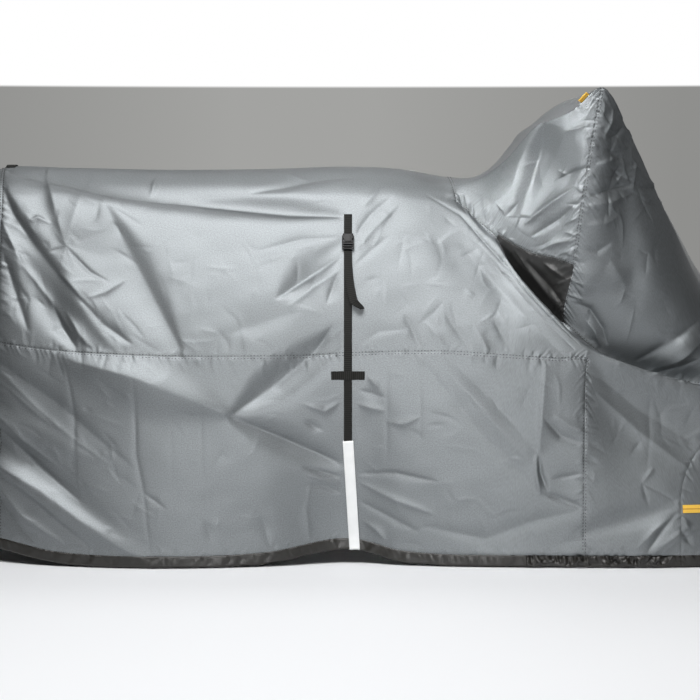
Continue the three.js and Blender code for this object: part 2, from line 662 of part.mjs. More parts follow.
// Small web loop across the top, just ahead of the rear seam: its two ends are sewn down.
function topLoop() {
  const from = names.indexOf('rear seam');
  const seamAlong = BODY[from].along;
  const u = from + (TOP_LOOP.along - seamAlong) / (BODY[from + 1].along - seamAlong);
  const curve = sectionCurve(u);
  const crestOut = -formPoint(curve, LINES.indexOf('crest')).y;
  const stops = [-0.5, -0.3, 0, 0.3, 0.5];
  const path = stops.map((share) => {
    const out = share * TOP_LOOP.length;
    const at = formPoint(curve, Math.abs(out) / crestOut);
    at.y = out;
    return { at, normal: upWay, lift: TOP_LOOP.lift + TOP_LOOP.rise * (1 - 4 * share * share) };
  });
  return bandAlong(path, levelWay, TOP_LOOP.width, WEB.thick);
}
addPiece('top_loop', topLoop(), 'webbing');

export default cover;
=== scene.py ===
import math

import bmesh
import bpy
import numpy as np
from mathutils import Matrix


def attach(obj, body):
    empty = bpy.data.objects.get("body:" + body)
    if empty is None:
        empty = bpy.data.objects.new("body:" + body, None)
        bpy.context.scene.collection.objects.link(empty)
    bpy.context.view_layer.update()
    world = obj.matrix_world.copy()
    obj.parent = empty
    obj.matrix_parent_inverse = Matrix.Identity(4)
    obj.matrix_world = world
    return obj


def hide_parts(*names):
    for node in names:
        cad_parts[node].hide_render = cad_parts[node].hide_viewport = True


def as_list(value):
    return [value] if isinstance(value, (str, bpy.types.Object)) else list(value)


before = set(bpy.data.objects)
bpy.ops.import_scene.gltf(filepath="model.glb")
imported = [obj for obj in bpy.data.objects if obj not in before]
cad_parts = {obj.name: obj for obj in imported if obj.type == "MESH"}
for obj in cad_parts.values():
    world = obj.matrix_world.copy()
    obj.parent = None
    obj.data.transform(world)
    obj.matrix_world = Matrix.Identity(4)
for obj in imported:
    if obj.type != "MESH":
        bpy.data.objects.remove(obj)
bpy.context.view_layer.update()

# The hanging form. Every section is a row of nine places from the middle of the top down to the hem, in
# millimetres along from the tail, out from the middle and up. All panels below are cut out of this one form.
LENGTH = 2310
BAND_HEIGHT = 30
BODY = (  # along at the top, along lower down, top, then ridge, waist and hem as (out, up)
    (45, 2, 938, (0, 855), (0, 562), (0, 34)),            # tail
    (62, 34, 964, (108, 874), (160, 557), (165, 34)),     # tail round
    (98, 112, 985, (152, 892), (250, 550), (238, 32)),    # rear seam
    (270, 270, 985, (168, 897), (292, 532), (300, 6)),    # seat rear
    (520, 520, 980, (175, 893), (320, 520), (338, 1)),    # seat
    (770, 770, 982, (176, 896), (326, 520), (310, 6)),    # seat front
    (980, 980, 988, (175, 899), (318, 527), (252, 34)),   # strap
    (1110, 1110, 982, (175, 892), (320, 531), (285, 8)),  # tank
)
HOOD = (  # top, crest, face, lower, valley, ridge, waist, hem, each (along, out, up)
    ((1239, 0, 961), (1244, 98, 943), (1247, 120, 929), (1250, 133, 916),
     (1253, 145, 900), (1262, 168, 872), (1232, 323, 531), (1232, 305, 1)),   # hood seam
    ((1308, 0, 962), (1312, 128, 957), (1310, 156, 912), (1307, 170, 868),
     (1305, 174, 848), (1314, 197, 820), (1292, 323, 527), (1290, 311, 1)),   # hood rise
    ((1365, 0, 995), (1368, 170, 998), (1362, 206, 910), (1354, 201, 819),
     (1350, 197, 807), (1364, 226, 766), (1350, 322, 523), (1345, 316, 1)),   # gusset tip
    ((1440, 0, 1080), (1442, 270, 1084), (1440, 272, 910), (1430, 242, 774),
     (1404, 208, 694), (1414, 256, 706), (1425, 321, 518), (1420, 320, 1)),   # gusset middle
    ((1520, 0, 1147), (1515, 353, 1114), (1500, 330, 922), (1488, 282, 760),
     (1472, 226, 612), (1483, 286, 628), (1495, 317, 514), (1490, 323, 1)),   # gusset end
    ((1590, 0, 1162), (1588, 400, 1171), (1556, 383, 972), (1530, 322, 744),
     (1515, 258, 598), (1575, 308, 536), (1567, 314, 512), (1560, 326, 1)),   # mirror
    ((1690, 0, 1045), (1680, 326, 1028), (1660, 342, 865), (1645, 306, 670),
     (1640, 246, 500), (1652, 303, 511), (1650, 302, 410), (1650, 328, 1)),   # screen
    ((1795, 0, 855), (1780, 243, 838), (1770, 285, 700), (1765, 268, 570),
     (1760, 222, 462), (1765, 286, 475), (1765, 288, 370), (1765, 325, 1)),   # headlight
    ((1950, 0, 640), (1930, 128, 612), (1922, 198, 560), (1920, 220, 498),
     (1920, 218, 442), (1920, 254, 428), (1920, 264, 335), (1920, 300, 1)),   # wheel
    ((2140, 0, 545), (2135, 78, 530), (2130, 124, 492), (2130, 152, 458),
     (2130, 172, 430), (2130, 192, 404), (2130, 212, 305), (2130, 225, 2)),   # fender
)
NOSE = ((2270, 0, 430), (2297, 0, 360), (2307, 0, 270), (2310, 0, 4))         # top, ridge, waist, hem
REAR_SEAM, HOOD_SEAM, HOOD_RISE, GUSSET_TIP, GUSSET_MIDDLE = 2, 8, 9, 10, 11
MIRROR, HEADLIGHT, WHEEL, LAST = 13, 15, 16, 18
CREST, LOWER, VALLEY, WAIST, BAND_TOP, BAND_FOOT = 1, 3, 4, 6, 7, 8


def rounded(top, ridge):
    """Four places on a round shoulder from top to ridge: the level share is sin(turn) / sin(70 degrees), the
    share of the drop (1 - cos(turn)) / (1 - cos(70 degrees)), for four even turns."""
    full = math.radians(70)
    turn = full * np.arange(1, 5)[:, None] / 5
    level = np.sin(turn) / math.sin(full)
    drop = (1 - np.cos(turn)) / (1 - math.cos(full))
    return top + np.hstack([level, level, drop]) * (ridge - top)


def section(top, ridge, waist, hem, between=None):
    """The nine places of one section; the shoulder is round unless the places between are given."""
    top, ridge, waist, hem = (np.array(place, float) for place in (top, ridge, waist, hem))
    shoulder = rounded(top, ridge) if between is None else np.array(between, float)
    return np.vstack([top, shoulder, ridge, waist, hem + (0, 0, BAND_HEIGHT), hem])


sections = [section((along, 0, top), (low, *ridge), (low, *waist), (low, *hem))
            for along, low, top, ridge, waist, hem in BODY]
sections += [section(top, ridge, waist, hem, between) for top, *between, ridge, waist, hem in HOOD]
sections = np.array(sections + [section(*NOSE)])
other_half = np.array([1.0, -1.0, 1.0])
lines = np.concatenate([sections[1:2] * other_half, sections, sections[-2:-1] * other_half])
lines = lines.transpose(1, 0, 2)


def through(points, place):
    """Smooth curves through rows of points, at places counted in points. Each stretch is a cubic whose end
    slopes weigh the neighbouring stretches by the square root of their lengths."""
    before = 2 * points[:, :1] - points[:, 1:2]
    after = 2 * points[:, -1:] - points[:, -2:-1]
    row = np.concatenate([before, points, after], axis=1)
    index = np.clip(np.floor(place).astype(int), 0, points.shape[1] - 2)
    t = (place - index)[None, :, None]
    a, b, c, d = (row[:, index + n] for n in range(4))
    ab, bc, cd = (np.linalg.norm(q - p, axis=2, keepdims=True) ** 0.5 for p, q in ((a, b), (b, c), (c, d)))
    slope_b = ((b - a) / ab - (c - a) / (ab + bc) + (c - b) / bc) * bc
    slope_c = ((c - b) / bc - (d - b) / (bc + cd) + (d - c) / cd) * bc
    square = 3 * (c - b) - 2 * slope_b - slope_c
    cube = 2 * (b - c) + slope_b + slope_c
    return b + t * (slope_b + t * (square + t * cube))


def form(u, v):
    """Places of the bare form at sections u and lines v. Over the hood the section is creased along its
    crest: the creased curve and the smooth one are mixed, most at the mirrors and not at all on the body and
    the wheel."""
    row = through(lines, u + 1).transpose(1, 0, 2)
    far = row[:, 1:2] * other_half
    smooth = through(np.concatenate([far, row], axis=1), v + 1)
    roof = through(np.concatenate([far, row[:, :2]], axis=1), np.minimum(v, 1) + 1)
    flank = through(row[:, 1:], np.maximum(v, 1) - 1)
    creased = np.where((v <= 1)[None, :, None], roof, flank)
    share = np.interp(u, (HOOD_SEAM, HOOD_RISE, GUSSET_TIP, MIRROR, HEADLIGHT, WHEEL), (0, 0.5, 1, 1, 0.6, 0))
    return smooth + share[:, None, None] * (creased - smooth)


# Cloth lengths on the form, in millimetres: round the half from the top, and along from the tail.
PER_UNIT = 40
fine_form = form(np.arange(LAST * PER_UNIT + 1) / PER_UNIT, np.arange(BAND_FOOT * PER_UNIT + 1) / PER_UNIT)
round_steps = np.linalg.norm(np.diff(fine_form, axis=1), axis=2)
along_steps = np.linalg.norm(np.diff(fine_form, axis=0), axis=2)
girth = np.pad(np.cumsum(round_steps, axis=1), ((0, 0), (1, 0)))
run = np.pad(np.cumsum(along_steps, axis=0), ((1, 0), (0, 0)))


def read(table, u, v):
    """A table of lengths at sections u and lines v, straight between its entries."""
    def at(rows, place):
        low = np.clip(np.floor(place).astype(int), 0, len(rows) - 2)
        share = (place - low)[:, None]
        return rows[low] * (1 - share) + rows[low + 1] * share
    return at(at(table, np.asarray(u) * PER_UNIT).T, np.asarray(v) * PER_UNIT).T


def ease(share):
    """Smooth step from 0 at share 0 to 1 at share 1."""
    share = np.clip(share, 0, 1)
    return share * share * (3 - 2 * share)


# Folds of the cloth, seen from the side: the places (along, up) that a fold runs through, its half width to
# the left and to the right of its way, its height (a trough is negative), and 2 for a soft bell, 1 for a
# sharp crease.
MAIN_RIGHT = (
    ("long sag under the seat", ((120, 974), (965, 863)), 40, 36, -18, 2),
    ("seat to waist", ((362, 908), (570, 536)), 26, 70, -14, 2),
    ("tail fan ridge", ((130, 927), (398, 548)), 60, 30, 11, 2),
    ("tail fan trough", ((160, 778), (312, 535)), 34, 34, -14, 2),
    ("strap fan, upper", ((973, 804), (812, 670)), 32, 32, -8, 2),
    ("strap fan, middle", ((968, 590), (703, 380)), 38, 38, -22, 2),
    ("strap fan, lower", ((691, 375), (970, 250)), 34, 34, -13, 2),
    ("bright shelf", ((275, 512), (686, 384)), 50, 50, 18, 2),
    ("tail foot ridge", ((30, 290), (495, 14)), 36, 40, 14, 2),
    ("tail foot trough", ((40, 356), (420, 84)), 42, 34, -13, 2),
    ("tail side ridge", ((40, 394), (372, 268)), 34, 30, 7, 2),
    ("tank to corner", ((1181, 815), (1524, 567)), 55, 55, -8, 2),
    ("fork trough", ((1540, 510), (1890, 275)), 95, 130, -18, 2),
    ("tab trough", ((1791, 164), (1548, 84)), 36, 36, -8, 2),
    ("hood dent", ((1462, 1090), (1405, 868)), 90, 22, -20, 2),
    ("screen trough", ((1630, 1020), (1685, 640)), 48, 60, -9, 2),
    ("screen flap", ((1745, 492), (1850, 560)), 32, 32, 15, 2),
)
MAIN_LEFT = (
    ("long sag under the seat", ((260, 955), (1080, 880)), 44, 44, -18, 2),
    ("tail fan ridge", ((140, 915), (460, 560)), 42, 42, 15, 2),
    ("tail fan trough", ((150, 740), (350, 520)), 36, 36, -18, 2),
    ("seat to foot", ((620, 880), (790, 300)), 44, 44, -19, 2),
    ("side shelf", ((420, 470), (980, 360)), 50, 50, 16, 2),
    ("tank to corner", ((1150, 830), (1520, 570)), 38, 38, -14, 2),
    ("tail foot ridge", ((130, 240), (560, 50)), 44, 44, 16, 2),
    ("middle foot trough", ((860, 330), (1180, 60)), 42, 42, -18, 2),
    ("fork trough", ((1600, 470), (1880, 260)), 44, 44, -18, 2),
    ("hood dent", ((1470, 1000), (1410, 860)), 34, 34, -18, 2),
    ("screen trough", ((1620, 1000), (1700, 620)), 44, 44, -15, 2),
)
SADDLE_FOLDS = (
    ("sag under the seat", ((120, 974), (192, 961), (350, 928), (469, 910), (615, 895), (721, 881),
     (833, 868), (954, 863)), 34, 10, -9, 1.3),
    ("sag beside the tank", ((740, 925), (811, 935), (890, 953), (985, 960)), 18, 10, -8, 1.44),
    ("crease on the seat", ((775, 976), (879, 955)), 8, 8, 4, 1.06),
    ("crease on the seat, short", ((485, 925), (495, 965)), 7, 7, 4, 1.06),
    ("tail fan, first", ((116, 928), (145, 867), (199, 795), (266, 713), (328, 651)), 15, 30, -10, 1.5),
    ("tail fan, ridge", ((117, 845), (173, 743), (250, 650), (298, 582)), 17, 17, 8, 1.11),
    ("notch, left arm", ((218, 968), (237, 918), (259, 850), (281, 787)), 110, 15, 9, 1.3),
    ("notch, right arm", ((316, 922), (313, 910), (298, 852), (281, 789)), 110, 30, 9, 1.15),
    ("notch, foot", ((279, 789), (310, 756), (343, 725), (388, 702)), 4, 6, -4.5, 1.1),
    ("tail fan, second", ((124, 763), (148, 693), (190, 586)), 19, 19, -10, 1.39),
    ("tail fan, third", ((328, 651), (378, 599), (446, 553)), 13, 13, -8, 1.27),
    ("tail fan, lip", ((270, 719), (328, 657)), 10, 10, 6, 1.11),
    ("tail crease", ((344, 661), (382, 676), (427, 708)), 6, 6, 4, 1.06),
    ("tail waist, one", ((252, 650), (273, 594), (310, 544)), 11, 11, -7, 1.27),
    ("tail waist, two", ((287, 626), (322, 570), (353, 542)), 9, 9, 5, 1.22),
    ("corner roll", ((1180, 913), (1262, 866), (1305, 815), (1354, 760), (1404, 700), (1473, 623),
     (1547, 549)), 4, 6, -3.5, 1.2),
    ("scallop, one", ((1118, 620), (1139, 582), (1158, 542)), 11, 11, -3.6, 1.33),
    ("scallop, two", ((1222, 618), (1246, 584), (1278, 537)), 12, 12, -4.2, 1.33),
    ("scallop, three", ((1340, 604), (1356, 573), (1382, 531)), 12, 12, -3.6, 1.33),
    ("scallop, four", ((1170, 604), (1197, 572), (1222, 536)), 10, 10, 3.0, 1.33),
    ("scallop, five", ((1290, 594), (1309, 563), (1325, 533)), 10, 10, 3.0, 1.33),
    ("scallop, six", ((662, 583), (684, 556), (690, 529)), 9, 9, -2.4, 1.33),
    ("scallop, seven", ((718, 594), (728, 562), (731, 530)), 9, 9, 2.4, 1.33),
    ("notch, tent", ((190, 848), (207, 858), (239, 843)), 4, 9, 4, 1.1),
    ("notch, short crease", ((239, 772), (258, 776), (275, 781)), 4, 6, -3, 1.1),
    ("corner roll, second", ((1291, 804), (1340, 749), (1390, 689), (1459, 612), (1533, 538)),
     7, 12, -3.5, 1.3),
    ("corner roll, third", ((1268, 785), (1317, 730), (1367, 670), (1436, 593), (1510, 519)),
     18, 28, -5, 1.6),
)
SIDE_FOLDS = (
    ("shelf edge", ((310, 506), (459, 467), (618, 410), (690, 375)), 70, 24, 9, 1.11),
    ("shelf to strip", ((690, 375), (814, 321), (968, 251)), 12, 18, -9, 1.17),
    ("rear streak, first", ((70, 528), (135, 467), (215, 392), (310, 316), (391, 260)), 9, 9, 2, 1.3),
    ("rear trough, first", ((70, 531), (140, 486), (266, 405), (366, 320), (440, 262)), 18, 40, -7, 1.3),
    ("rear streak, second", ((70, 415), (130, 360), (178, 316), (259, 253)), 11, 11, 7, 1.17),
    ("rear trough, second", ((70, 381), (130, 324), (205, 253), (319, 165)), 13, 13, -8, 1.22),
    ("rear ridge", ((70, 269), (126, 240), (224, 189), (347, 103), (433, 48), (479, 27)), 14, 22, 5, 1.4),
    ("rear trough, third", ((70, 260), (128, 217), (196, 166), (298, 86), (353, 46)), 13, 13, -8, 1.22),
    ("rear foot ridge", ((70, 259), (127, 185), (174, 124), (273, 61)), 16, 12, 12, 1.3),
    ("rear foot trough", ((70, 211), (125, 143), (168, 90), (211, 50)), 10, 10, -6, 1.22),
    ("packing crease, rear", ((459, 473), (462, 281), (479, 195), (495, 39)), 6, 8, -2.6, 1.1),
    ("kink in the rear crease", ((479, 188), (507, 168), (533, 149)), 5, 5, -4, 1.06),
    ("packing crease, middle", ((621, 403), (624, 257), (637, 131)), 5, 7, -1.2, 1.1),
    ("packing crease, tail", ((286, 505), (306, 400), (310, 316), (312, 213), (318, 180)), 5, 8, -2.0, 1.1),
    ("packing crease, faint", ((548, 353), (551, 208)), 5, 7, -0.7, 1.1),
    ("pillow beside the strip", ((1080, 358), (1115, 356), (1151, 371)), 9, 9, 5, 1.27),
    ("packing crease, at the strap", ((1075, 495), (1075, 256)), 7, 5, -1.1, 1.1),
    ("packing crease, ahead of it", ((1156, 496), (1158, 326)), 5, 7, -1.2, 1.1),
    ("slant, first", ((1167, 502), (1288, 355), (1436, 202)), 22, 22, -3.5, 1.39),
    ("slant, second", ((1221, 520), (1332, 420), (1436, 290)), 18, 18, -3.0, 1.39),
    ("slant, ridge", ((1197, 514), (1310, 392), (1436, 246)), 13, 13, 2.0, 1.39),
    ("packing crease, front", ((1462, 511), (1454, 393), (1447, 283)), 30, 9, 5, 1.0),
    ("kink, hollow", ((1448, 276), (1453, 232), (1470, 190)), 5, 8, -7.5, 1.17),
    ("kink, lip", ((1440, 276), (1443, 231), (1451, 182)), 6, 6, 6, 1.11),
    ("kink, tail", ((1455, 189), (1514, 167), (1564, 145)), 7, 7, -6, 1.11),
    ("kink, upper", ((1478, 219), (1521, 226), (1563, 234)), 8, 8, -5, 1.17),
    ("front seam trough", ((1463, 365), (1501, 326), (1564, 304)), 11, 11, -7, 1.22),
    ("front seam ridge", ((1487, 375), (1525, 348), (1568, 333)), 10, 10, 4, 1.27),
    ("foot wave", ((1169, 101), (1316, 70), (1440, 117), (1557, 145)), 20, 20, -4, 1.44),
    ("foot ripple, one", ((631, 119), (647, 61)), 12, 12, -3, 1.33),
    ("foot ripple, two", ((767, 129), (787, 55)), 14, 14, -3, 1.33),
    ("foot ripple, three", ((874, 154), (885, 65)), 10, 10, 3, 1.33),
    ("rear streak, thin", ((140, 440), (190, 398), (250, 350)), 9, 6, 2.5, 1.2),
)
FRONT_FOLDS = (
    ("fork trough", ((1588, 476), (1695, 389), (1838, 302)), 16, 16, -3.2, 1.27),
    ("fork ridge", ((1596, 427), (1695, 338), (1820, 242)), 18, 18, 5, 1.39),
    ("tab trough", ((1785, 148), (1695, 126), (1578, 92), (1502, 57)), 30, 24, -5, 1.6),
    ("tab ridge", ((1776, 125), (1733, 92), (1687, 46)), 9, 9, 6, 1.17),
    ("tab trough, steep", ((1787, 133), (1754, 95), (1714, 40)), 8, 8, -8, 1.17),
    ("packing crease, fork", ((1727, 426), (1725, 313), (1715, 233)), 5, 7, -1.2, 1.1),
    ("star, one", ((1703, 208), (1745, 187), (1789, 162)), 5, 5, -3, 1.11),
    ("star, two", ((1703, 208), (1720, 153)), 5, 5, -3, 1.11),
    ("star, three", ((1703, 208), (1733, 246)), 5, 5, 3, 1.11),
    ("patch pucker, one", ((1802, 123), (1819, 96)), 7, 7, 5, 1.22),
    ("patch pucker, two", ((1800, 93), (1824, 56)), 7, 7, -5, 1.22),
    ("tab streak, first", ((1721, 31), (1770, 66), (1825, 105)), 14, 8, 6, 1.3),
    ("tab streak, second", ((1752, 36), (1800, 75), (1840, 92)), 8, 6, 4, 1.2),
)
HOOD_FOLDS = (
    ("pillow at the gusset", ((1545, 748), (1562, 712), (1553, 668)), 34, 20, 8, 1.6),
    ("hollow under it", ((1536, 651), (1574, 632), (1607, 585), (1620, 551)), 11, 11, -9, 1.27),
    ("lip under it", ((1567, 605), (1590, 580), (1602, 545)), 9, 9, 5, 1.22),
    ("front wrinkle, one", ((1567, 913), (1615, 928), (1677, 941)), 6, 9, -6, 1.22),
    ("front wrinkle, two", ((1558, 889), (1616, 894), (1667, 916)), 10, 10, 6, 1.27),
    ("front wrinkle, three", ((1608, 1023), (1629, 1005), (1660, 999)), 7, 7, -5, 1.22),
    ("front wrinkle, four", ((1579, 985), (1609, 994), (1634, 1008)), 8, 8, 5, 1.22),
    ("front wrinkle, five", ((1617, 1118), (1612, 1088), (1597, 1056)), 8, 8, 6, 1.22),
    ("front wrinkle, six", ((1603, 1047), (1628, 1060), (1644, 1080)), 7, 7, -5, 1.22),
    ("front wrinkle, seven", ((1599, 960), (1640, 959), (1672, 975)), 7, 7, -4, 1.22),
    ("front wrinkle, eight", ((1559, 841), (1603, 844), (1642, 865)), 10, 10, 4, 1.33),
    ("front wrinkle, nine", ((1553, 783), (1587, 778), (1620, 797)), 9, 9, -5, 1.27),
    ("packing crease, hood", ((1714, 775), (1708, 721)), 8, 12, -1.8, 1.0),
    ("front crease, low", ((1682, 635), (1675, 595), (1668, 552)), 4, 9, 2.0, 1.0),
    ("front flap", ((1738, 478), (1792, 506), (1860, 556)), 10, 8, 7, 1.2),
    ("front flap, under", ((1755, 474), (1804, 488), (1846, 508)), 8, 8, -6, 1.17),
    ("front smooth bulge", ((1621, 753), (1660, 689)), 26, 26, 5, 1.55),
    ("flank trough", ((1462, 1099), (1425, 978), (1397, 870)), 9, 13, -2.8, 1.27),
    ("flank ridge", ((1438, 1071), (1405, 1000), (1386, 938)), 11, 11, 2.1, 1.27),
    ("flank band", ((1562, 1116), (1504, 1058), (1456, 971), (1420, 854)), 20, 20, 3.0, 1.44),
    ("flank bulge", ((1419, 846), (1470, 891), (1526, 935)), 13, 13, 7, 1.33),
    ("flank hollow", ((1435, 815), (1490, 853), (1531, 895)), 9, 9, -5, 1.27),
    ("flank root, one", ((1259, 917), (1274, 873)), 7, 7, -6, 1.17),
    ("flank root, two", ((1288, 898), (1293, 858)), 6, 6, -5, 1.17),
    ("flank root, three", ((1273, 916), (1283, 868)), 5, 5, 4, 1.17),
    ("flank root, four", ((1317, 911), (1326, 852)), 9, 9, 3, 1.33),
    ("flank crease", ((1371, 862), (1399, 896)), 5, 5, -3, 1.11),
    ("flank foot", ((1455, 781), (1489, 798), (1531, 805)), 9, 9, 4, 1.33),
    ("gusset lip", ((1464, 747), (1493, 726), (1513, 710)), 7, 7, 6, 1.17),
    ("gusset trough", ((1423, 750), (1469, 694), (1509, 646)), 11, 11, -8, 1.27),
    ("gusset ridge", ((1396, 775), (1445, 706), (1493, 641)), 9, 9, 5, 1.27),
    ("flank crease, long", ((1478, 950), (1523, 972), (1572, 985)), 5, 12, -5, 1.1),
    ("flank crease, branch", ((1482, 975), (1509, 960)), 4, 7, 3, 1.1),
    ("flank crease, high", ((1505, 1066), (1550, 1080), (1574, 1036)), 5, 10, 4, 1.1),
    ("front flap, above", ((1700, 505), (1770, 545), (1850, 605)), 16, 12, -7, 1.4),
)
STRAP_FOLDS = (
    ("strap fan, thin", ((961, 811), (863, 805), (767, 780)), 9, 9, -3.0, 1.17),
    ("strap fan, upper", ((961, 763), (890, 720), (808, 663)), 9, 14, -6.0, 1.27),
    ("strap fan, under it", ((964, 732), (900, 693), (836, 641)), 8, 12, 3.0, 1.27),
    ("strap fan, steep", ((954, 721), (929, 649)), 9, 9, -4.5, 1.17),
    ("strap fan, waist", ((961, 611), (934, 583), (903, 534), (811, 454), (690, 375)), 9, 15, -6.0, 1.22),
    ("strap shade", ((855, 630), (693, 578)), 30, 30, -4, 1.55),
    ("strap front, first", ((996, 811), (1035, 865), (1089, 910)), 9, 9, -3.3, 1.17),
    ("strap front, ridge", ((1001, 778), (1043, 831), (1103, 888)), 9, 9, 2.8, 1.22),
    ("strap front, second", ((996, 738), (1037, 778), (1082, 813)), 8, 8, -2.2, 1.22),
    ("strap front, high", ((1019, 886), (1058, 933)), 8, 8, 2.8, 1.22),
    ("strap front, low", ((1003, 548), (1055, 581), (1121, 588)), 9, 9, -2.2, 1.22),
    ("strip, rear wrinkle", ((871, 249), (914, 234), (968, 219)), 6, 6, -5, 1.11),
    ("strip, rear wrinkle low", ((879, 204), (924, 197), (973, 176)), 7, 7, -4, 1.11),
    ("strip, rear bump", ((874, 229), (919, 215), (968, 200)), 6, 6, 4, 1.11),
    ("keeper, rear bump", ((874, 404), (924, 387), (961, 409)), 9, 9, 5, 1.22),
    ("keeper, rear dent", ((874, 362), (919, 338)), 9, 9, -4, 1.22),
    ("strip, front wrinkle", ((1010, 230), (1097, 233), (1196, 214)), 5, 9, -6, 1.17),
    ("strip, front ridge", ((1015, 204), (1097, 165), (1183, 135)), 10, 10, 5, 1.27),
    ("strip, front trough", ((1016, 156), (1086, 119), (1151, 87)), 11, 11, -5, 1.27),
    ("strip, foot bump", ((1021, 108), (1052, 88), (1071, 64)), 9, 9, 6, 1.22),
    ("keeper, front ridge", ((1006, 403), (1068, 387)), 10, 10, 5, 1.22),
    ("keeper, front dent", ((1011, 437), (1069, 422)), 8, 8, -4, 1.22),
    ("keeper, front high", ((1031, 469), (1058, 443)), 8, 8, 4, 1.22),
)


def fold_heights(rows, end, along, up):
    """Sum of folds at places seen from the side. Each is its height, times a taper from end at its ends to 1
    in its middle as a half sine wave, times exp(-(distance / half width) ** sharpness) across it; its half
    width narrows to a third at its ends in the same way."""
    height = np.zeros(along.shape)
    for _, path, left, right, deep, sharp in rows:
        path = np.array(path, float)
        reach = 3.2 * max(left, right)
        low, high = path.min(axis=0) - reach, path.max(axis=0) + reach
        near = (along > low[0]) & (along < high[0]) & (up > low[1]) & (up < high[1])
        place = np.stack([along[near], up[near]], axis=-1)
        ways = np.diff(path, axis=0)
        spans = np.linalg.norm(ways, axis=1)
        best = np.full(len(place), np.inf)
        share = np.zeros(len(place))
        turn = np.zeros(len(place))
        for start, way, span, gone in zip(path, ways, spans, np.cumsum(spans) - spans):
            off = place - start
            part = np.clip(off @ way / span ** 2, 0, 1)
            gap = off - part[:, None] * way
            far = np.linalg.norm(gap, axis=1)
            closer = far < best
            best = np.where(closer, far, best)
            share = np.where(closer, (gone + part * span) / spans.sum(), share)
            turn = np.where(closer, way[0] * gap[:, 1] - way[1] * gap[:, 0], turn)
        middle = np.sin(np.pi * share)
        half = np.where(turn > 0, left, right) * (1 + 2 * middle) / 3
        height[near] += deep * (end + (1 - end) * middle) * np.exp(-(best / half) ** sharp)
    return height


# Small creases from packing and handling, strewn over each region of the side: its limits along and up, how
# many there, the heading of most of them in degrees from level, how far they scatter about it, and the
# tallest.
CREASED = (
    ("tail side", (110, 420), (540, 930), 70, -55, 28, 1.8),
    ("seat side", (420, 960), (540, 930), 60, -30, 55, 1.2),
    ("tank side", (1000, 1400), (540, 900), 56, 40, 45, 1.2),
    ("tail foot", (110, 450), (30, 520), 64, -38, 18, 1.7),
    ("middle foot", (450, 960), (30, 520), 54, -20, 60, 1.2),
    ("front foot", (1000, 1560), (30, 510), 60, -45, 55, 1.3),
    ("fork", (1570, 2150), (40, 450), 46, 30, 50, 1.3),
    ("hood flank", (1250, 1580), (750, 1120), 40, 55, 50, 1.3),
    ("hood front", (1580, 1950), (520, 1080), 60, -35, 60, 1.3),
    ("hood under the mirror", (1585, 1690), (880, 1110), 34, -30, 40, 3.4),
)


def small_creases(seed):
    """Fold rows for the small creases: 25 to 110 mm long, steeper on one side than the other."""
    chance = np.random.default_rng(seed)
    rows = []
    for name, along, up, count, heading, scatter, tallest in CREASED:
        start = np.stack([chance.uniform(*along, count), chance.uniform(*up, count)], axis=1)
        way = np.radians(heading + scatter * chance.normal(size=count))
        length = chance.uniform(25, 110, count)
        end = start + length[:, None] * np.stack([np.cos(way), np.sin(way)], axis=1)
        bend = (start + end) / 2 + chance.normal(size=(count, 2)) * 0.06 * length[:, None]
        steep, gentle = chance.uniform(2.5, 4.5, count), chance.uniform(5, 13, count)
        height = chance.choice([-1, 1], count) * chance.uniform(0.35, 1.0, count) * tallest
        rows += [(name, path, *sides, tall, 1.0) for path, sides, tall in
                 zip(np.stack([start, bend, end], axis=1), np.stack([steep, gentle], axis=1), height)]
    return rows


# Seams pull the cloth in and pucker it. Each follows a line or a section of the form from one end to the
# other; then the height and length of its puckers and how far they reach into the cloth, in millimetres.
SEAMS = (
    ("rear seam", "section", REAR_SEAM, 0, BAND_TOP, 1.6, 26, 18),
    ("waist seam", "line", WAIST, REAR_SEAM, MIRROR, 2.0, 16, 13),
    ("hood seam", "section", HOOD_SEAM, 0, VALLEY, 0.8, 19, 12),
    ("flank and gusset foot seam", "line", VALLEY, HOOD_SEAM, MIRROR, 0.7, 18, 11),
    ("gusset top seam", "line", LOWER, GUSSET_TIP, MIRROR, 1.4, 16, 10),
    ("mirror seam", "section", MIRROR, CREST, VALLEY, 4.0, 15, 17),
    ("front seam", "section", MIRROR, WAIST, BAND_TOP, 2.6, 14, 14),
    ("fender seam", "line", VALLEY, MIRROR, LAST, 1.6, 19, 14),
    ("mirror ridge seam", "line", CREST, HOOD_SEAM, MIRROR, 0.8, 22, 10),
    ("hem seam", "line", BAND_TOP, 0, LAST, 1.5, 20, 13),
    ("elastic hem seam", "line", BAND_TOP, GUSSET_MIDDLE, HEADLIGHT, 2.2, 14, 13),
)
# The arch seam of the wheel patch is a half circle on two uprights. Its single creases and its waves have a
# height, a length and a reach of their own.
ARCH = {"along": 1988, "up": 160, "radius": 189, "creases": (1.6, 19, 14), "waves": (1.8, 24, 14)}


def ripple(way, wave):
    """Uneven waves along a seam, from about -1 to 1: three sines whose phases drift, swelling and fading
    slowly."""
    t = 2 * np.pi * way / wave
    swell = 0.62 + 0.38 * np.sin(0.113 * t + 2.1 * np.sin(0.047 * t))
    first = np.sin(t + 1.9 * np.sin(0.231 * t + 0.7))
    second = np.sin(1.73 * t + 2.2 * np.sin(0.19 * t) + 1.1)
    third = np.sin(2.61 * t + 0.4)
    return swell * (0.55 * first + 0.3 * second + 0.15 * third)


def arch_gap(along, up):
    """Distance outside the arch seam of the wheel patch (negative inside), and the length along that seam."""
    beside = along - ARCH["along"]
    above = np.maximum(up - ARCH["up"], 0)
    turn = np.arctan2(above, beside)
    way = ARCH["radius"] * turn + np.where(up < ARCH["up"], np.sign(beside) * (up - ARCH["up"]), 0)
    return np.hypot(beside, above) - ARCH["radius"], way


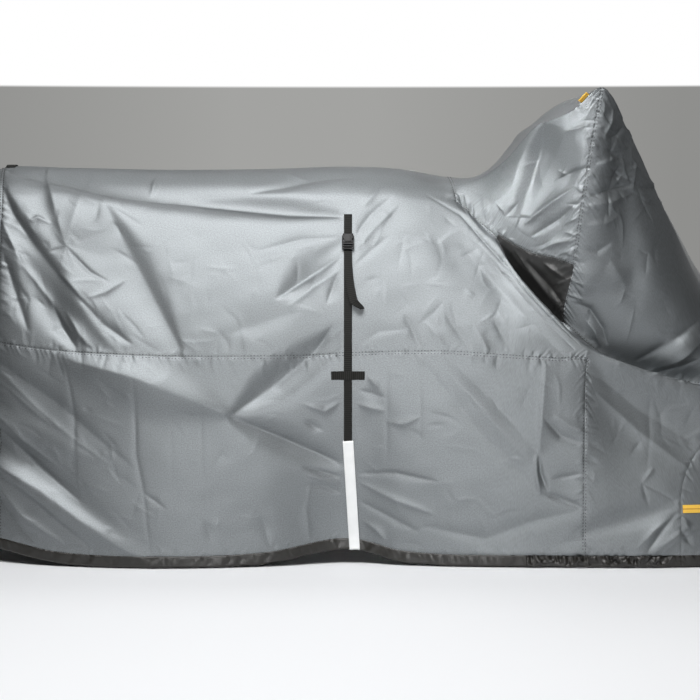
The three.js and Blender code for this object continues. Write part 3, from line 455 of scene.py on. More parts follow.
def seam_puckers(seed):
    """Fold rows for the single puckers of the seams: thin creases that start a little over the seam and run
    off it to one side, trailing down, up to three times its reach long and up to its height high."""
    chance = np.random.default_rng(seed)
    turn = np.radians(np.linspace(20, 185, 200))
    arch = (ARCH["along"] + ARCH["radius"] * np.cos(turn), ARCH["up"] + ARCH["radius"] * np.sin(turn))
    seen = [(*arch, *ARCH["creases"])]
    for _, follows, number, first, last, tall, wave, reach in SEAMS:
        part = np.linspace(first, last, 400)
        fixed = np.array([number])
        path = form(part, fixed)[:, 0] if follows == "line" else form(fixed, part)[0]
        seen.append((path[:, 0], path[:, 2], tall, wave, reach))
    rows = []
    for along, up, tall, wave, reach in seen:
        gone = np.pad(np.cumsum(np.hypot(np.diff(along), np.diff(up))), (1, 0))
        count = round(1.3 * gone[-1] / wave)
        at = chance.uniform(0, gone[-1], count)
        heading = np.arctan2(np.interp(at, gone, np.gradient(up)), np.interp(at, gone, np.gradient(along)))
        heading += chance.choice([-1, 1], count) * np.pi / 2 + 0.3 * chance.normal(size=count)
        length = chance.uniform(reach, 3 * reach, count)
        way = np.stack([np.cos(heading), np.sin(heading) - 0.3], axis=1) * length[:, None]
        seam = np.stack([np.interp(at, gone, along), np.interp(at, gone, up)], axis=1)
        height = chance.choice([-1, 1], count) * chance.uniform(0.3, 0.8, count) * tall
        rows += [("pucker", path, 2.8, 6, high, 1.15) for path, high in
                 zip(np.stack([seam - 0.15 * way, seam + way], axis=1), height)]
    return rows


def seam_heights(u, v, along, up, start):
    """Puckers and grooves of all seams: the ripple slants away from the seam and fades as exp(-distance /
    reach), the groove of the stitching is 1 mm deep. start shifts the ripples, so that the two halves
    differ."""
    height = np.zeros((len(u), len(v)))
    fade = 0.1

    def pucker(off, way, tall, wave, reach):
        slanted = way + start - 0.7 * np.abs(off) + 0.2 * off
        return 0.8 * tall * ripple(slanted, wave) * np.exp(-np.abs(off) / reach) - np.exp(-(off / 3.2) ** 2)

    def within(place, first, last):
        return ease((place - first) / fade + 1) * ease((last - place) / fade + 1)

    for _, follows, number, first, last, tall, wave, reach in SEAMS:
        if follows == "line":
            off = read(girth, u, v) - read(girth, u, [number])
            way = read(run, u, [number])
            inside = within(u, first, last)[:, None]
        else:
            off = read(run, u, v) - read(run, [number], v)
            way = read(girth, [number], v)
            inside = within(v, first, last)[None, :]
        height += inside * pucker(off, way, tall, wave, reach)
    off, way = arch_gap(along, up)
    return height + (u > MIRROR)[:, None] * pucker(off, way, *ARCH["waves"])


def swells(along, up):
    """Low swells of slack cloth: five long waves of different length, heading, phase and height."""
    height = 0
    for wave, heading, phase, tall in ((190, 20, 0.3, 0.5), (143, 74, 1.7, 0.35), (97, 128, 4.1, 0.22),
                                       (71, 47, 2.6, 0.14), (53, 101, 5.2, 0.1)):
        way = along * math.cos(math.radians(heading)) + up * math.sin(math.radians(heading))
        height = height + tall * np.sin(2 * np.pi * way / wave + phase + 0.8 * np.sin(way / (1.9 * wave)))
    return height


# The near half has the folds of the photo and lies flat under the strap, 13 mm to each side of its middle,
# with 17 mm more to fade out. The far half borrows the small folds, shifted by up to 35 mm and a little
# lower.
STRAP_ALONG, STRAP_TOP = 980, 885
SMALL_FOLDS = SADDLE_FOLDS + SIDE_FOLDS + FRONT_FOLDS + HOOD_FOLDS
HANDLED = {"right": small_creases(11) + seam_puckers(31), "left": small_creases(12) + seam_puckers(32)}


def cloth(side, u, v):
    """Hanging cloth of one half at sections u and lines v: the form, raised along its normal by folds,
    puckers and swells. Returns places and normals as (along, out, up). Small folds grow to full height within
    45 mm of the middle of the top, large ones within 110 mm."""
    here = form(u, v)
    nudge = 0.02
    along_way = form(np.minimum(u + nudge, LAST), v) - form(np.maximum(u - nudge, 0), v)
    down_way = form(u, np.minimum(v + nudge, BAND_FOOT)) - form(u, np.maximum(v - nudge, 0))
    normal = np.cross(along_way, down_way)
    normal /= np.linalg.norm(normal, axis=2, keepdims=True)
    along, out, up = np.moveaxis(here, 2, 0)
    small = fold_heights(HANDLED[side], 0, along, up)
    if side == "right":
        small += fold_heights(SMALL_FOLDS + STRAP_FOLDS, 0.2, along, up)
        small += seam_heights(u, v, along, up, 0) + swells(along, up)
        beside, below = np.abs(along - STRAP_ALONG), STRAP_TOP - up
        small *= 1 - ease((30 - beside) / 17) * ease(below / 15)
        main = fold_heights(MAIN_RIGHT, 0.15, along, up)
    else:
        small += 0.85 * fold_heights(SMALL_FOLDS, 0.2, along + 35 * np.sin(up / 140), up + 10)
        small += seam_heights(u, v, along, up, 137) + swells(along + 400, up)
        main = fold_heights(MAIN_LEFT, 0.15, along, up)
    height = ease(out / 110) * main + ease(out / 45) * small
    return here + height[:, :, None] * normal, normal


def turned(side, ways):
    """Ways (along, out, up) of one half as x, y, z: out is -y on the right."""
    return ways * np.array([1, -1 if side == "right" else 1, 1])


def in_metres(side, places):
    """Places (along, out, up) in millimetres as x, y, z in metres."""
    return turned(side, places - (LENGTH / 2, 0, 0)) * 0.001


def even(table, low, high, step, across):
    """Sections (or lines) from low to high whose cloth is about step apart on the longest of the lines
    across."""
    fine = np.linspace(low, high, 400)
    lengths = read(run, fine, across) if table is run else read(girth, across, fine).T
    grown = np.pad(np.cumsum(np.diff(lengths, axis=0).max(axis=1)), (1, 0))
    count = max(2, round(grown[-1] / step))
    return np.interp(np.linspace(0, grown[-1], count + 1), grown, fine)


def placed(name, mesh, material):
    """The mesh as a smooth object of one material."""
    mesh.shade_smooth()
    mesh.materials.append(material)
    piece = bpy.data.objects.new(name, mesh)
    bpy.context.collection.objects.link(piece)
    return piece


def mesh_piece(name, places, faces, layout, material):
    """An object from places in metres, faces and layout (u, v) in metres for each place; doubles are
    merged."""
    mesh = bpy.data.meshes.new(name)
    mesh.from_pydata(places.tolist(), [], faces)
    corner = np.empty(len(mesh.loops), np.int32)
    mesh.loops.foreach_get("vertex_index", corner)
    mesh.uv_layers.new(name="cloth").data.foreach_set("uv", layout[corner].astype(np.float32).ravel())
    welded = bmesh.new()
    welded.from_mesh(mesh)
    bmesh.ops.remove_doubles(welded, verts=welded.verts, dist=2e-6)
    welded.to_mesh(mesh)
    welded.free()
    return placed(name, mesh, material)


def stand_for(piece, node):
    """The piece moves with the root body and replaces its solid, which is hidden."""
    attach(piece, "root")
    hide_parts(node)


def grid_faces(columns, rows, first, side):
    """Quads of a grid of places, column by column, that face outward on that side."""
    index = first + np.arange(columns * rows).reshape(columns, rows)
    quads = np.stack([index[:-1, :-1], index[:-1, 1:], index[1:, 1:], index[1:, :-1]], axis=-1).reshape(-1, 4)
    return quads if side == "right" else quads[:, ::-1]


def cloth_layout(u, v):
    """Layout of the cloth at sections u and lines v, in metres: along from the tail, and round from the
    top."""
    return np.stack([read(run, u, v), read(girth, u, v)], axis=-1).reshape(-1, 2) / 1000


def grid_piece(name, blocks, material):
    """One mesh from blocks (side, sections, lines, places) that share their edges."""
    places, faces, layout = [], [], []
    for side, u, v, points in blocks:
        first = sum(len(part) for part in places)
        places.append(in_metres(side, points).reshape(-1, 3))
        faces += grid_faces(len(u), len(v), first, side).tolist()
        layout.append(cloth_layout(u, v))
    return mesh_piece(name, np.vstack(places), faces, np.vstack(layout), material)


def panel(node, blocks, material):
    """A panel of hanging cloth from blocks (side, sections, lines)."""
    hung = [(side, u, v, cloth(side, u, v)[0]) for side, u, v in blocks]
    piece = grid_piece(f"{node}_cloth", hung, material)
    stand_for(piece, node)
    return piece


def linear(code):
    """Linear red, green, blue and alpha of an sRGB hex colour."""
    parts = [int(code[n:n + 2], 16) / 255 for n in (1, 3, 5)]
    return [c / 12.92 if c <= 0.04045 else ((c + 0.055) / 1.055) ** 2.4 for c in parts] + [1.0]


def new_material(name):
    """A material with its node tree and its principled shader."""
    material = bpy.data.materials.new(name)
    material.use_nodes = True
    return material, material.node_tree, material.node_tree.nodes["Principled BSDF"]


def wire(tree, node, **inputs):
    """Sets inputs of a node, by name or by _number: each a value, or the socket to link from."""
    for key, value in inputs.items():
        socket = node.inputs[int(key[1:])] if key[0] == "_" else node.inputs[key.replace("_", " ")]
        if isinstance(value, bpy.types.NodeSocket):
            tree.links.new(value, socket)
        else:
            socket.default_value = value


def add(tree, kind, output=0, settings=(), **inputs):
    """Adds a node with its own settings and wired inputs, and returns one of its outputs."""
    node = tree.nodes.new(f"ShaderNode{kind}")
    for key, value in dict(settings).items():
        setattr(node, key, value)
    wire(tree, node, **inputs)
    return node.outputs[output]


def wave_scale(pitch):
    """Scale of a wave texture whose bands lie pitch millimetres apart: a full turn over 20 radians a
    metre."""
    return 2000 * math.pi / (20 * pitch)


def woven(tree, pitch, depth, distance, **under):
    """Bump of a plain weave laid out on the cloth: crossed bands, pitch millimetres apart, over the Normal of
    a bump under it. Real threads lie about 0.4 mm apart, and are drawn coarser so that they show."""
    layout = add(tree, "UVMap", settings={"uv_map": "cloth"})
    bands = [add(tree, "TexWave", "Fac", {"bands_direction": way}, Vector=layout, Scale=wave_scale(pitch),
                 Distortion=0.6, Detail=1.0) for way in ("X", "Y")]
    crossed = add(tree, "Math", settings={"operation": "MULTIPLY"}, _0=bands[0], _1=bands[1])
    return add(tree, "Bump", Strength=depth, Distance=distance, Height=crossed, **under)


# Silver coated polyester: plain weave with a silver-pigmented coating, so it shines softly like satin. The
# coating is a little darker where it was rubbed, and carries fine crinkles from being packed. Rubbed patches
# are about 200 mm wide, crinkles 40 mm, and the grain of the coating 3 mm, which is drawn coarser than it is.
SHELL_THREADS = 1.41
silver, tree, shader = new_material("silver coated polyester")
layout = add(tree, "UVMap", settings={"uv_map": "cloth"})
patches = add(tree, "TexNoise", "Fac", Vector=layout, Scale=5.0, Detail=4.0, Roughness=0.55)
grain = add(tree, "TexNoise", "Fac", Vector=layout, Scale=330.0, Detail=2.0, Roughness=0.6)
crinkle = add(tree, "TexNoise", "Fac", {"noise_type": "RIDGED_MULTIFRACTAL"}, Vector=layout, Scale=26.0,
              Detail=3.0, Roughness=0.5, Distortion=0.5)
worn = add(tree, "Mix", 2, {"data_type": "RGBA"}, _0=patches, _6=linear("#7d8183"), _7=linear("#8d9193"))
speck = add(tree, "MapRange", Value=grain, From_Min=0.3, From_Max=0.7, To_Min=0.8, To_Max=1.14)
crinkled = add(tree, "Bump", Strength=0.22, Distance=0.0012, Height=crinkle)
grained = add(tree, "Bump", Strength=0.3, Distance=0.0005, Height=grain, Normal=crinkled)
wire(tree, shader, Metallic=1.0, Sheen_Weight=0.1, Sheen_Roughness=0.4,
     Base_Color=add(tree, "VectorMath", settings={"operation": "SCALE"}, _0=worn, _3=speck),
     Roughness=add(tree, "MapRange", Value=patches, To_Min=0.52, To_Max=0.6),
     Normal=woven(tree, SHELL_THREADS, 0.12, 0.0002, Normal=grained))

# Its inner face is the bare grey weave without the coating, painted dark grey for the shade where it shows
# under the hem.
inner_weave_and_shade = add(tree, "BsdfDiffuse", Color=linear("#3b3d3e"), Normal=woven(tree, SHELL_THREADS, 0.3, 0.0003))
faced = add(tree, "MixShader", _0=add(tree, "NewGeometry", "Backfacing"), _1=shader.outputs["BSDF"], _2=inner_weave_and_shade)
wire(tree, tree.nodes["Material Output"], Surface=faced)

# Tail panel: one piece of silver cloth that wraps the tail from side to side, sewn to the body along the rear
# seam, which gathers it into short puckers.
tail_u = even(run, 0, REAR_SEAM, 6, (5, 6, 7))
tail_v = even(girth, 0, BAND_TOP, 6, (1, 2))
tail_blocks = [(side, tail_u, tail_v) for side in ("right", "left")]
tail_panel = panel("tail_panel", tail_blocks, silver)

# Saddle panel: the upper body from waist seam to waist seam over the seat and tank, with a long corner on
# each side that runs forward under the gusset to the front seam. Its far half has a coarser mesh.
saddle_u = even(run, REAR_SEAM, HOOD_SEAM, 3.6, (2, 5, 6))
corner_u = even(run, HOOD_SEAM, MIRROR, 3.6, (5, 6))
saddle_blocks = []
for side, step in (("right", 3.6), ("left", 12)):
    over = even(girth, 0, VALLEY, step, (4, 6))
    down = even(girth, VALLEY, WAIST, step, (4, 6, 8))
    saddle_blocks.append((side, saddle_u, np.concatenate([over, down[1:]])))
    saddle_blocks.append((side, corner_u, down))
saddle_panel = panel("saddle_panel", saddle_blocks, silver)

# Side panels: the lower sides between waist seam and hem band, from the rear seam to the front seam. Each is
# one length of the silver cloth, sewn on along all four edges.
side_panel_right, side_panel_left = (
    panel(f"side_panel_{side}", [(side, even(run, REAR_SEAM, MIRROR, step, (6, 7)),
                                  even(girth, WAIST, BAND_TOP, step, (4, 6, 12)))], silver)
    for side, step in (("right", 3.6), ("left", 7)))

# Hood back: the taut piece of silver cloth between the two mirrors, from the ridge down to the tank. It is
# sewn to the flanks along their ridge seams and to the saddle panel along the hood seam.
hood_u = even(run, HOOD_SEAM, MIRROR, 5, (0, 1))
hood_back = panel("hood_back", [(side, hood_u, even(girth, 0, CREST, step, (12, 13)))
                                for side, step in (("right", 5), ("left", 8))], silver)

# Hood flanks: the sides of the hood from the ridge seam down to the gusset, narrowing to the body seam. They
# are silver cloth too, sewn to the hood's back and front and to the gusset.
hood_flanks = []
for side, step in (("right", 2.6), ("left", 7)):
    root = even(run, HOOD_SEAM, GUSSET_TIP, step, (1, 2, 3))
    tip = even(run, GUSSET_TIP, MIRROR, step, (1, 2, 3))
    blocks = [(side, np.concatenate([root, tip[1:]]), even(girth, CREST, LOWER, step, (12, 13))),
              (side, root, even(girth, LOWER, VALLEY, step, (8, 9)))]
    hood_flanks.append(panel(f"hood_flank_{side}", blocks, silver))

# Hood front: from the mirror seam forward and down over the front wheel to the fender seam, one piece across.
# From just behind the headlight on its mesh is coarser.
COARSER = 14.6
front_u = np.concatenate([even(run, MIRROR, COARSER, 2.8, (1, 3)), even(run, COARSER, LAST, 6, (1, 3))[1:]])
hood_front = panel("hood_front", [(side, front_u, even(girth, 0, VALLEY, step, (13, 14)))
                                  for side, step in (("right", 3.4), ("left", 14))], silver)


def coated(name, scale, detail, tones, gloss, crinkle, weave):
    """A black coated weave. Patches of noise vary its tone, its roughness and its crinkles (depth and
    distance); the weave has a pitch, a depth and a distance."""
    material, tree, shader = new_material(name)
    layout = add(tree, "UVMap", settings={"uv_map": "cloth"})
    patches = add(tree, "TexNoise", "Fac", Vector=layout, Scale=scale, Detail=detail, Roughness=0.6)
    tint = add(tree, "Mix", 2, {"data_type": "RGBA"}, _0=patches, _6=linear(tones[0]), _7=linear(tones[1]))
    crinkled = add(tree, "Bump", Strength=crinkle[0], Distance=crinkle[1], Height=patches)
    wire(tree, shader, Base_Color=tint, Normal=woven(tree, *weave, Normal=crinkled),
         Roughness=add(tree, "MapRange", Value=patches, To_Min=gloss[0], To_Max=gloss[1]))
    return material


# Black coated polyester of the gussets: the same weave with a black coating, smoother and shinier. Rubbed
# patches about 33 mm wide make it a little lighter and duller.
black = coated("black coated polyester", 30.0, 4.0, ("#1a1a1a", "#272726"), gloss=(0.34, 0.5),
               crinkle=(0.4, 0.001), weave=(SHELL_THREADS, 0.15, 0.0002))

# Gussets: black three-cornered pieces let in under the flanks, so that the hood can stand out over the bars.
# Each is sewn in between flank, saddle panel and hood front.
gussets = [panel(f"gusset_{side}", [(side, even(run, GUSSET_TIP, MIRROR, step, (3, 4)),
                                     even(girth, LOWER, VALLEY, step, (12, 13)))], black)
           for side, step in (("right", 3.6), ("left", 7))]


def arch_pieces(side, step):
    """Cuts the lower front into the wheel patch inside the arch seam and the fork panel around it. The places
    next to the seam are moved on to it within the cloth, so that the edge is round."""
    u = even(run, MIRROR, LAST, step, (5, 6, 7))
    v = even(girth, VALLEY, BAND_TOP, step, (13, 14, 15, 16))
    points, normal = cloth(side, u, v)
    bare = form(u, v)
    gap, _ = arch_gap(bare[..., 0], bare[..., 2])
    quads = grid_faces(len(u), len(v), 0, side)
    inside = gap.reshape(-1)[quads].mean(axis=1) < 0
    seam = np.intersect1d(quads[inside], quads[~inside])
    flat, facing, reach = points.reshape(-1, 3), normal.reshape(-1, 3)[seam], gap.reshape(-1)[seam]
    beside = flat[seam, 0] - ARCH["along"]
    above = np.maximum(flat[seam, 2] - ARCH["up"], 0)
    outward = np.stack([beside, np.zeros(len(seam)), above], axis=1)
    outward /= np.linalg.norm(outward, axis=1, keepdims=True)
    outward[:, 1] = -(outward[:, 0] * facing[:, 0] + outward[:, 2] * facing[:, 2]) / facing[:, 1]
    flat[seam] -= reach[:, None] * outward
    layout = cloth_layout(u, v)
    for node, chosen in ((f"fork_panel_{side}", ~inside), (f"wheel_patch_{side}", inside)):
        used, faces = np.unique(quads[chosen], return_inverse=True)
        faces = faces.reshape(-1, 4).tolist()
        piece = mesh_piece(f"{node}_cloth", in_metres(side, flat[used]), faces, layout[used], silver)
        stand_for(piece, node)
        yield piece


# Fork panels and wheel patches: the lower front from the front seam to the nose, with an arched patch sewn in
# over the front wheel.
fork_panel_right, wheel_patch_right = arch_pieces("right", 3.8)
fork_panel_left, wheel_patch_left = arch_pieces("left", 7)

# Black binding tape of the hem: thin coated tape, shiny where it is drawn into gathers, with dusty patches
# about 42 mm wide.
tape = coated("black binding tape", 24.0, 5.0, ("#181715", "#282622"), gloss=(0.25, 0.42),
              crinkle=(0.3, 0.0012), weave=(1.79, 0.25, 0.0003))


def crumple_rows(chance, count):
    """Fold rows, on the band laid out, for the short sharp folds just ahead of the section GUSSET_MIDDLE."""
    from_here = read(run, [GUSSET_MIDDLE], [BAND_TOP])[0, 0]
    foot = np.stack([from_here + chance.uniform(10, 340, count), chance.uniform(2, 28, count)], axis=1)
    lean = chance.uniform(0.5, 2.6, count)
    length = chance.uniform(16, 44, count)
    head = foot + length[:, None] * np.stack([np.cos(lean), np.sin(lean)], axis=1)
    tall = chance.choice([-1, 1], count) * chance.uniform(3.5, 7, count)
    return [("crumple", path, 3, 7, high, 1.15) for path, high in zip(np.stack([foot, head], axis=1), tall)]


def hem_band(node, sides, first, last, crumples):
    """Band round the foot. Soft pleats, 61 and 27 mm long, lean over as they go down, the last fifth of the
    band turns under, and its edge rises and falls by up to 3 mm. Crumples are the many short sharp folds that
    the elastic makes in its length."""
    blocks = []
    chance = np.random.default_rng(21)
    for side in sides:
        step, start = {"right": (1.7 if crumples else 3, 0), "left": (6, 211)}[side]
        u = even(run, first, last, step, (7, 8))
        v = np.linspace(BAND_TOP, BAND_FOOT, 19 if crumples else 13)
        points, normal = cloth(side, u, v)
        way = read(run, u, v)
        down = (v - BAND_TOP)[None, :]
        pleats = 1.6 * ripple(way + 16 * down + start, 61) + 0.4 * ripple(way - 9 * down + start, 27)
        lift = pleats * (0.25 + 0.75 * np.sin(np.pi * np.clip(down * 0.8 + 0.12, 0, 1)))
        if crumples:
            height = BAND_HEIGHT * (1 - down) + 0 * way
            lift = lift + fold_heights(crumple_rows(chance, crumples), 0.2, way, height)
        lift = lift + 0.8 - 2.2 * np.clip((down - 0.82) / 0.18, 0, 1) ** 2
        points = points + lift[:, :, None] * normal * (1, 1, 0) * ease(points[..., 1:2] / 20)
        points[..., 2] += 1.6 * down * (1 + ripple(way + start, 120)) * ease(points[..., 1] / 20)
        blocks.append((side, u, v, points))
    piece = grid_piece(f"{node}_tape", blocks, tape)
    stand_for(piece, node)
    solidify = piece.modifiers.new("thickness", "SOLIDIFY")
    solidify.thickness = 0.0018
    return piece


# Hem band: black tape folded over the edge and sewn on, in three lengths. The front length holds an elastic
# that draws it into gathers, most of all just ahead of its joints.
hem_band_right = hem_band("hem_band_right", ("right",), 0, GUSSET_MIDDLE, crumples=0)
hem_band_left = hem_band("hem_band_left", ("left",), 0, GUSSET_MIDDLE, crumples=0)
hem_band_front = hem_band("hem_band_front", ("right", "left"), GUSSET_MIDDLE, LAST, crumples=95)

# Stitching: two rows of grey thread along each seam between panels, 3.4 mm to each side of it, coloured near
# black as painted shade for its needle holes. The ridge seam of the hood and the hem have none that shows.
# Real stitches are about 3 mm long and half a millimetre thick, and are drawn larger so that they show.
PANEL_SEAMS = SEAMS[:8]
thread, tree, shader = new_material("grey polyester thread with painted shade")
# painted shade: the thread is coloured near black for the shade in its needle holes
wire(tree, shader, Base_Color=linear("#1b1d1e"), Roughness=0.6, Sheen_Weight=0.3)


def stitch_rows(side, follows, number, first, last):
    """Middles, directions and normals of the stitches beside one seam, 8 mm apart."""
    pitch, beside_seam, nudge = 8, 3.4, 0.03
    if follows == "line":
        u = even(run, first, last, pitch, (number,))
        low, high = max(number - nudge, 0), min(number + nudge, BAND_FOOT)
        points, normal = cloth(side, u, np.array([low, number, high]))
        back, seam, front, normal = points[:, 0], points[:, 1], points[:, 2], normal[:, 1]
    else:
        v = even(girth, first, last, pitch, (number,))
        points, normal = cloth(side, np.array([number - nudge, number, number + nudge]), v)
        back, seam, front, normal = points[0], points[1], points[2], normal[1]
    way = turned(side, np.gradient(seam, axis=0))
    for beside in (back, front):
        off = beside - seam
        off /= np.linalg.norm(off, axis=1, keepdims=True)
        yield in_metres(side, seam + beside_seam * off + 0.2 * normal), way, turned(side, normal)


def stitches(name, rows, material):
    """One mesh of many stitches: a low six-cornered bead at every middle, lying along its row."""
    long, wide, tall = 0.0052, 0.0023, 0.0012
    middle, way, normal = (np.vstack(part) for part in zip(*rows))
    way = way / np.linalg.norm(way, axis=1, keepdims=True)
    across = np.cross(normal, way)
    across /= np.linalg.norm(across, axis=1, keepdims=True)
    shape = np.array([(-0.5, 0, 0), (0.5, 0, 0), (0, -0.5, 0), (0, 0.5, 0), (-0.22, 0, 1), (0.22, 0, 1)])
    parts = shape * (long, wide, tall)
    places = (middle[:, None] + parts[None, :, :1] * way[:, None] + parts[None, :, 1:2] * across[:, None]
              + parts[None, :, 2:] * normal[:, None]).reshape(-1, 3)
    faces = np.array([(0, 2, 4), (2, 5, 4), (2, 1, 5), (1, 3, 5), (3, 4, 5), (3, 0, 4)])
    faces = (faces[None] + len(shape) * np.arange(len(middle))[:, None, None]).reshape(-1, 3).tolist()
    piece = mesh_piece(name, places, faces, np.zeros((len(places), 2)), material)
    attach(piece, "root")


for side in ("right", "left"):
    rows = [row for _, follows, number, first, last, *_ in PANEL_SEAMS
            for row in stitch_rows(side, follows, number, first, last)]
    stitches(f"seam_stitching_{side}", rows, thread)

# Cloth of the near side as a table of places, to lay the strap and the tabs on.
near_u, near_v = np.linspace(REAR_SEAM, LAST, 1100), np.linspace(VALLEY, BAND_FOOT, 420)
near_points, near_normals = (table.reshape(-1, 3) for table in cloth("right", near_u, near_v))


def resting(along, up):
    """Places and normals of the near side's cloth at distances along and heights."""
    along, up = np.broadcast_arrays(np.asarray(along, float), np.asarray(up, float))
    places, normals = [], []
    for a, z in zip(along.ravel(), up.ravel()):
        away = (near_points[:, 0] - a) ** 2 + (near_points[:, 2] - z) ** 2
        close = np.flatnonzero(away < away.min() + 4)
        best = close[np.argmax(near_points[close, 1])]
        place, normal = near_points[best], near_normals[best]
        out = place[1] - (normal[0] * (a - place[0]) + normal[2] * (z - place[2])) / normal[1]
        places.append((a, out, z))
        normals.append(normal)
    return np.array(places), np.array(normals)


def laid(along, up, half, across, clear):
    """Middle line of a band on the near side's cloth. It stands clear of the highest cloth under its
    width."""
    middle, normal = resting(along, up)
    most = np.zeros(len(middle))
    for share in (-1, -0.5, 0.5, 1):
        beside, _ = resting(along + share * half * across[0], up + share * half * across[1])
        most = np.maximum(most, np.sum((beside - middle) * normal, axis=1))
    most = np.convolve(np.pad(most, 2, mode="edge"), np.ones(5) / 5, mode="valid").clip(min=most)
    return middle + (most + clear)[:, None] * normal, normal


def ribbon(node, middle, normal, width, thick, material):
    """A flat band along its middle line: a rounded-off flat section, width across and thick outward of the
    line."""
    middle, normal = in_metres("right", middle), turned("right", normal)
    sideways = np.cross(np.gradient(middle, axis=0), normal)
    sideways /= np.linalg.norm(sideways, axis=1, keepdims=True)
    turn = np.linspace(0, 2 * np.pi, 20, endpoint=False)
    wide = width / 2000 * np.sign(np.cos(turn)) * np.abs(np.cos(turn)) ** 0.25
    high = thick / 2000 * (1 + np.sign(np.sin(turn)) * np.abs(np.sin(turn)) ** 0.6)
    ring = middle[:, None] + wide[None, :, None] * sideways[:, None] + high[None, :, None] * normal[:, None]
    count, around = ring.shape[:2]
    index = np.arange(count * around).reshape(count, around)
    ahead = np.roll(index, -1, axis=1)
    quads = np.stack([index[:-1], index[1:], ahead[1:], ahead[:-1]], axis=-1).reshape(-1, 4)
    grown = np.pad(np.cumsum(np.linalg.norm(np.diff(middle, axis=0), axis=1)), (1, 0))
    layout = np.stack(np.broadcast_arrays(grown[:, None], wide[None]), axis=-1).reshape(-1, 2)
    faces = quads.tolist() + [index[0].tolist(), index[-1][::-1].tolist()]
    piece = mesh_piece(f"{node}_band", ring.reshape(-1, 3), faces, layout, material)
    outward = bmesh.new()
    outward.from_mesh(piece.data)
    bmesh.ops.recalc_face_normals(outward, faces=outward.faces)
    outward.to_mesh(piece.data)
    outward.free()
    stand_for(piece, node)


# Black webbing: ribbed polypropylene, dull and a little fuzzy. The ribs across its length are drawn 5 mm
# apart so that they show; real ones lie about 1 mm apart. The fuzz is about 1 mm wide.
webbing, tree, shader = new_material("black polypropylene webbing")
layout = add(tree, "UVMap", settings={"uv_map": "cloth"})
ribs = add(tree, "TexWave", "Fac", {"bands_direction": "X"}, Vector=layout, Scale=wave_scale(5),
           Distortion=0.3)
fuzz = add(tree, "TexNoise", "Fac", Vector=layout, Scale=900.0, Detail=2.0)
rib_tone = add(tree, "Math", settings={"operation": "MULTIPLY"}, _0=fuzz, _1=ribs)
tint = add(tree, "Mix", 2, {"data_type": "RGBA"}, _0=rib_tone, _6=linear("#131312"), _7=linear("#2f2f2c"))
wire(tree, shader, Roughness=0.7, Specular_IOR_Level=0.15, Sheen_Weight=0.03,
     Base_Color=tint, Normal=add(tree, "Bump", Strength=0.35, Distance=0.0006, Height=ribs))

# Strap: the anchor is a short doubled web sewn to the saddle panel; the running web hangs from the buckle
# under a keeper to the reflective strip; the loose end stands a little off below the buckle and flicks out at
# its tip.
WEB = {"width": 20, "half": 10, "thick": 1.6}
for node, heights, thick in (("strap_anchor", np.arange(866, 802, -3.0), 2.2),
                             ("strap_web", np.arange(790, 299, -4.0), WEB["thick"])):
    middle, normal = laid(np.full(len(heights), STRAP_ALONG), heights, WEB["half"], across=(1, 0), clear=0.6)
    ribbon(node, middle, normal, WEB["width"], thick, webbing)
TAIL_TOP, TAIL_FOOT = 775, 632
heights = np.linspace(TAIL_TOP, TAIL_FOOT, 46)
down = (TAIL_TOP - heights) / (TAIL_TOP - TAIL_FOOT)
flick = ease((down - 0.82) / 0.18)
bent = STRAP_ALONG + 20 * down ** 2.4 + 15 * flick ** 2
middle, normal = laid(bent, heights, WEB["half"], across=(1, 0), clear=3.4)
middle = middle + (9 * np.sin(0.5 * np.pi * down) ** 2)[:, None] * normal
normal = np.cos(flick)[:, None] * normal + np.sin(flick)[:, None] * (0.85, 0, 0.5)
ribbon("strap_tail", middle, normal, WEB["width"], WEB["thick"], webbing)
KEEPER_UP, KEEPER_HALF, KEEPER_WIDTH, OVER_WEB = 474.0, 41, 21, 2.6
beside = np.linspace(-KEEPER_HALF, KEEPER_HALF, 36)
middle, normal = laid(STRAP_ALONG + beside, np.full(36, KEEPER_UP), WEB["half"], across=(0, 1), clear=0.5)
middle = middle + (OVER_WEB * ease((18 - np.abs(beside)) / 6))[:, None] * normal
ribbon("strap_keeper", middle, normal, KEEPER_WIDTH, WEB["thick"], webbing)

# Moulded black acetal of the buckle: the mould's spark-eroded face gives it a fine grain, about half a
# millimetre wide, and a dull shine.
plastic, tree, shader = new_material("moulded black acetal")
grain = add(tree, "TexNoise", "Fac", Vector=add(tree, "TexCoord", "Object"), Scale=1800.0, Detail=2.0)
wire(tree, shader, Base_Color=linear("#121212"), Specular_IOR_Level=0.3,
     Roughness=add(tree, "MapRange", Value=grain, To_Min=0.34, To_Max=0.5),
     Normal=add(tree, "Bump", Strength=0.25, Distance=0.0002, Height=grain))


def moulded(node, blocks, origin, ways):
    """A moulding from blocks (across, up, outward; each from and to, in mm) in the buckle's own ways: each is
    a unit cube, stretched from low to high, with its edges rounded."""
    low, high = np.moveaxis(np.array(blocks, float) / 1000, 1, 0)
    unit = np.array([(x, y, z) for x in (0, 1) for y in (0, 1) for z in (0, 1)])
    places = origin + (low[:, None] + unit * (high - low)[:, None]) @ ways
    quads = np.array([(0, 1, 3, 2), (4, 6, 7, 5), (0, 4, 5, 1), (2, 3, 7, 6), (0, 2, 6, 4), (1, 5, 7, 3)])
    faces = quads + len(unit) * np.arange(len(blocks))[:, None, None]
    mesh = bpy.data.meshes.new(f"{node}_moulding")
    mesh.from_pydata(places.reshape(-1, 3).tolist(), [], faces.reshape(-1, 4).tolist())
    shape = bmesh.new()
    shape.from_mesh(mesh)
    bmesh.ops.bevel(shape, geom=shape.edges[:], offset=0.0011, segments=3, profile=0.6, affect="EDGES")
    shape.to_mesh(mesh)
    shape.free()
    stand_for(placed(f"{node}_moulding", mesh, plastic), node)


